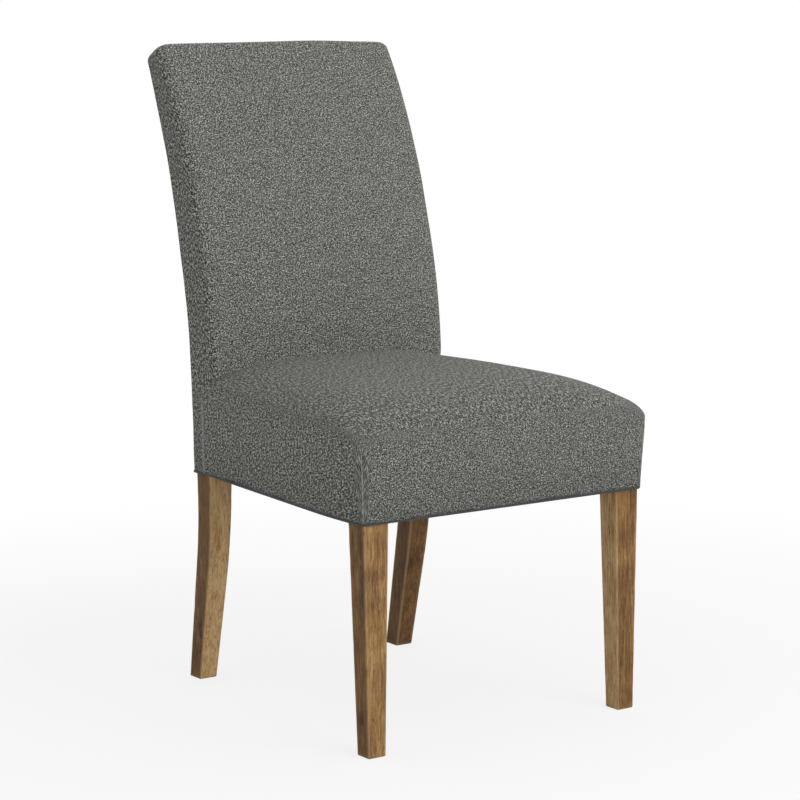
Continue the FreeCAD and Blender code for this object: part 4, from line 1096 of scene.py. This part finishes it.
def tube(name, path, radius, material):
    """Closed tube along a closed path in a level plane."""
    before = np.roll(path, 1, axis=0)
    after = np.roll(path, -1, axis=0)
    along = after - before
    along /= np.linalg.norm(along, axis=1, keepdims=True)
    out = np.stack([along[:, 1], -along[:, 0], np.zeros(len(path))], axis=1)
    sides = WELT_SIDES
    turns = np.linspace(0.0, math.tau, sides, endpoint=False)
    rim = (path[:, None, :] + radius * (out[:, None, :] * np.cos(turns)[None, :, None]
           + np.array([0.0, 0.0, 1.0]) * np.sin(turns)[None, :, None]))
    count = len(path)
    lengths = np.concatenate([[0.0], np.cumsum(np.linalg.norm(after - path, axis=1))])
    faces, maps = [], []
    for i in range(count):
        j = (i + 1) % count
        for k in range(sides):
            n = (k + 1) % sides
            faces.append((i * sides + k, i * sides + n, j * sides + n, j * sides + k))
            a, b = lengths[i], lengths[i + 1]
            c, d = k / sides, (k + 1) / sides
            maps.append([(a, c), (a, d), (b, d), (b, c)])
    return build_mesh(name, rim.reshape(-1, 3), faces, maps, material)


# Staples of the dust cover.

DUST_EDGE = 8.0 * MM
DUST_LOW = 0.3350
STAPLE_IN = 5.0 * MM
STAPLE_SPACING = 32.0 * MM
STAPLE = (10.0 * MM, 1.2 * MM, 0.5 * MM)
STAPLE_ASKEW = 0.12
STAPLE_SEED = 7


def staple_tree():
    """Staples lie at even spacing along the edges they are given, each turned a little by chance."""
    group = bpy.data.node_groups.new("staples", "GeometryNodeTree")
    sockets = {}
    kinds = {"Geometry": "Geometry", "Spacing": "Float", "Size": "Vector", "Steel": "Material"}
    for name, kind in kinds.items():
        socket = group.interface.new_socket(name, in_out="INPUT", socket_type=f"NodeSocket{kind}")
        sockets[name] = socket.identifier
    group.interface.new_socket("Geometry", in_out="OUTPUT", socket_type="NodeSocketGeometry")
    tree = Tree(group)
    edges, spacing, size, steel = (tree.node("NodeGroupInput", output=name) for name in sockets)
    runs = tree.node("GeometryNodeMeshToCurve", None, {"Mesh": edges})
    spots = tree.node("GeometryNodeResampleCurve", {"mode": "LENGTH"},
                      {"Curve": runs, "Length": spacing})
    crown = tree.node("GeometryNodeMeshCube", None, {"Size": size})
    tangent = tree.node("GeometryNodeInputTangent")
    turn = tree.node("FunctionNodeAlignRotationToVector", {"axis": "X"}, {"Vector": tangent})
    placed = tree.node("GeometryNodeInstanceOnPoints", None,
                       {"Points": spots, "Instance": crown, "Rotation": turn})
    chance = tree.node("FunctionNodeRandomValue", {"data_type": "FLOAT_VECTOR"},
                       {0: (0.0, 0.0, -STAPLE_ASKEW), 1: (0.0, 0.0, STAPLE_ASKEW), "Seed": STAPLE_SEED})
    askew = tree.node("GeometryNodeRotateInstances", None, {"Instances": placed, "Rotation": chance})
    real = tree.node("GeometryNodeRealizeInstances", None, {"Geometry": askew})
    finished = tree.node("GeometryNodeSetMaterial", None, {"Geometry": real, "Material": steel})
    tree.end("NodeGroupOutput", finished, "Geometry")
    return group, sockets


def staples(steel):
    """Staples along the four edges of the dust cover, between the legs."""
    inset = DUST_EDGE + STAPLE_IN
    front = (LEG_OUTER - LEG_WIDE - STAPLE_IN, -LEG_FRONT + inset)
    rear = (POST_OUTER - POST_WIDE - STAPLE_IN, POST_FRONT + POST_DEEP - inset)
    side_front = (LEG_OUTER - inset, -LEG_FRONT + LEG_DEEP + STAPLE_IN)
    side_rear = (POST_OUTER - inset, POST_FRONT - STAPLE_IN)
    runs = [((-x, y), (x, y)) for x, y in (front, rear)]
    for side in (-1, 1):
        runs.append(((side * side_front[0], side_front[1]), (side * side_rear[0], side_rear[1])))
    points = [(*place, DUST_LOW - STAPLE[2] / 4) for run in runs for place in run]
    mesh = bpy.data.meshes.new("dust_cover_staples")
    mesh.from_pydata(points, [(2 * i, 2 * i + 1) for i in range(len(runs))], [])
    piece = put("dust_cover_staples", mesh)
    tree, sockets = staple_tree()
    modifier = piece.modifiers.new("Staples", "NODES")
    modifier.node_group = tree
    modifier[sockets["Spacing"]] = STAPLE_SPACING
    modifier[sockets["Size"]] = STAPLE
    modifier[sockets["Steel"]] = steel
    return bake_modifiers(piece)


# Stage.

def floor_plane():
    """Pale floor that catches the shadow, fades to white and is not seen from below."""
    mesh = bpy.data.meshes.new("floor")
    reach = FLOOR_REACH
    corners = [(-reach, -reach, 0), (reach, -reach, 0), (reach, reach, 0), (-reach, reach, 0)]
    mesh.from_pydata(corners, [], [(0, 1, 2, 3)])
    finish = Finish("pale_floor")
    camera_ray = finish.node("ShaderNodeLightPath", output="Is Camera Ray")
    x, y, _ = finish.axes(finish.places())
    far = ((x * x + y * y) ** 0.5).above(FLOOR_GLOW_START, FLOOR_GLOW_FULL)
    glow = finish.node("ShaderNodeEmission", None, {"Color": WHITE, "Strength": 1.0})
    matt = finish.node("ShaderNodeBsdfDiffuse", None, {"Color": FLOOR_TONE})
    above = finish.blend(camera_ray * (FLOOR_GLOW_NEAR + far * (1.0 - FLOOR_GLOW_NEAR)), matt, glow)
    below = finish.node("ShaderNodeNewGeometry", output="Backfacing")
    clear = finish.node("ShaderNodeBsdfTransparent")
    finish.end("ShaderNodeOutputMaterial", finish.blend(below, above, clear))
    return link("floor", mesh, finish.material)


def sky():
    """Even white light; the camera and mirrors see plain white."""
    world = bpy.data.worlds.new("studio")
    bpy.context.scene.world = world
    world.use_nodes = True
    tree = Tree(world.node_tree)
    soft, white = (tree.node("ShaderNodeBackground", None, {"Color": WHITE, "Strength": strength})
                   for strength in (SOFT_LIGHT, 1.0))
    camera, glossy, through = (tree.node("ShaderNodeLightPath", output=f"Is {kind} Ray")
                               for kind in ("Camera", "Glossy", "Transmission"))
    seen = camera.math("MAXIMUM", glossy).math("MAXIMUM", through)
    tree.end("ShaderNodeOutputWorld", tree.blend(seen, soft, white))


def lamps():
    for name, (place, size, power) in LAMPS.items():
        light = bpy.data.lights.new(name, "AREA")
        light.shape = "SQUARE"
        light.size = size
        light.energy = power
        holder = put(name, light)
        holder.location = place
        holder.rotation_euler = (Vector(LAMP_AIM) - Vector(place)).to_track_quat("-Z", "Y").to_euler()


def photo_camera():
    """Camera at the photograph's viewpoint."""
    turn, rise, roll = (math.radians(v) for v in (CAMERA_TURN, CAMERA_RISE, CAMERA_ROLL))
    level = Matrix.Rotation(turn, 4, "Z") @ Matrix.Rotation(math.pi / 2 - rise, 4, "X")
    aim = Vector((0.0, CAMERA_BACKSET, CAMERA_AIM_UP))
    place = level @ Vector((CAMERA_AIM_RIGHT, 0.0, CAMERA_DISTANCE)) + aim
    data = bpy.data.cameras.new("photo_camera")
    data.lens = CAMERA_LENS
    data.sensor_width = SENSOR
    camera = put("photo_camera", data)
    camera.matrix_world = Matrix.Translation(place) @ level @ Matrix.Rotation(roll, 4, "Z")
    bpy.context.scene.camera = camera


# Build.

photo_camera()
floor = floor_plane()
sky()
lamps()
bpy.context.scene.view_settings.view_transform = "Standard"

tweed = tweed_finish("grey_tweed", BACK_LIFT, BACK_SIDE_PAINTED_SHADE)
# The seat's copy of the tweed is darker: painted shade.
seat_tweed_painted_shade = tweed_finish("grey_tweed_seat_painted_shade", SEAT_PAINTED_SHADE, 1.0)
oak = oak_finish("distressed_oak")
welt_cloth = welt_finish("welt_cord")

seat = seat_cover()
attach(seat, "root")
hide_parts("seat_cover", "seat_padding")

inside_back, outside_back = back_covers()
for piece, stands_for in ((inside_back, ("inside_back_cover", "back_padding")),
                          (outside_back, ("outside_back_cover",))):
    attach(piece, "root")
    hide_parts(*stands_for)

# Painted light and shade of each leg's faces, partly the wood's own tone: first the front and rear, then
# the sides.
leg_light_and_tones = {
    "front_leg_left": (1.05, 0.56),
    "front_leg_right": (0.78, 1.75),
    "rear_post_left": (1.9, 0.5),
    "rear_post_right": (0.5, 0.44),
}
for side_name, side in (("left", -1), ("right", 1)):
    for node_name, edges, top in ((f"front_leg_{side_name}", front_leg_edges, RAIL_TOP),
                                  (f"rear_post_{side_name}", post_edges, POST_TOP)):
        leg = worn_timber(f"{node_name}_oak", edges, side, top, *leg_light_and_tones[node_name])
        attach(leg, "root")
        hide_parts(node_name)

welt = tube("hem_welt", welt_path(), WELT_RADIUS, welt_cloth)
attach(welt, "root")
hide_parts("bottom_welt")

steel = zinc_finish("zinc_steel")
dust_staples = staples(steel)
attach(dust_staples, "root")

# The first words that a node's name holds choose its finish; 0, 1 and 2 are the axes X, Y and Z.
node_finishes = {
    "side_seat_rail": sawn_wood_finish("sawn_wood_along", 1),
    "corner_block_screws": steel,
    "corner_block": sawn_wood_finish("sawn_wood_upright", 2),
    "rail": sawn_wood_finish("sawn_wood_across", 0),
    "seat_web_long": strap_finish("webbing_long", 1),
    "web": strap_finish("webbing_cross", 0),
    "seat_decking": plain_cloth_finish("decking_cloth", (150, 140, 118), (186, 176, 152), DECKING_PITCH),
    "dust_cover": plain_cloth_finish("black_cambric", (18, 18, 19), (46, 46, 47), CAMBRIC_PITCH),
}
for name, node in nodes.items():
    for words, material in node_finishes.items():
        if words in name:
            node.data.materials.clear()
            node.data.materials.append(material)
            break
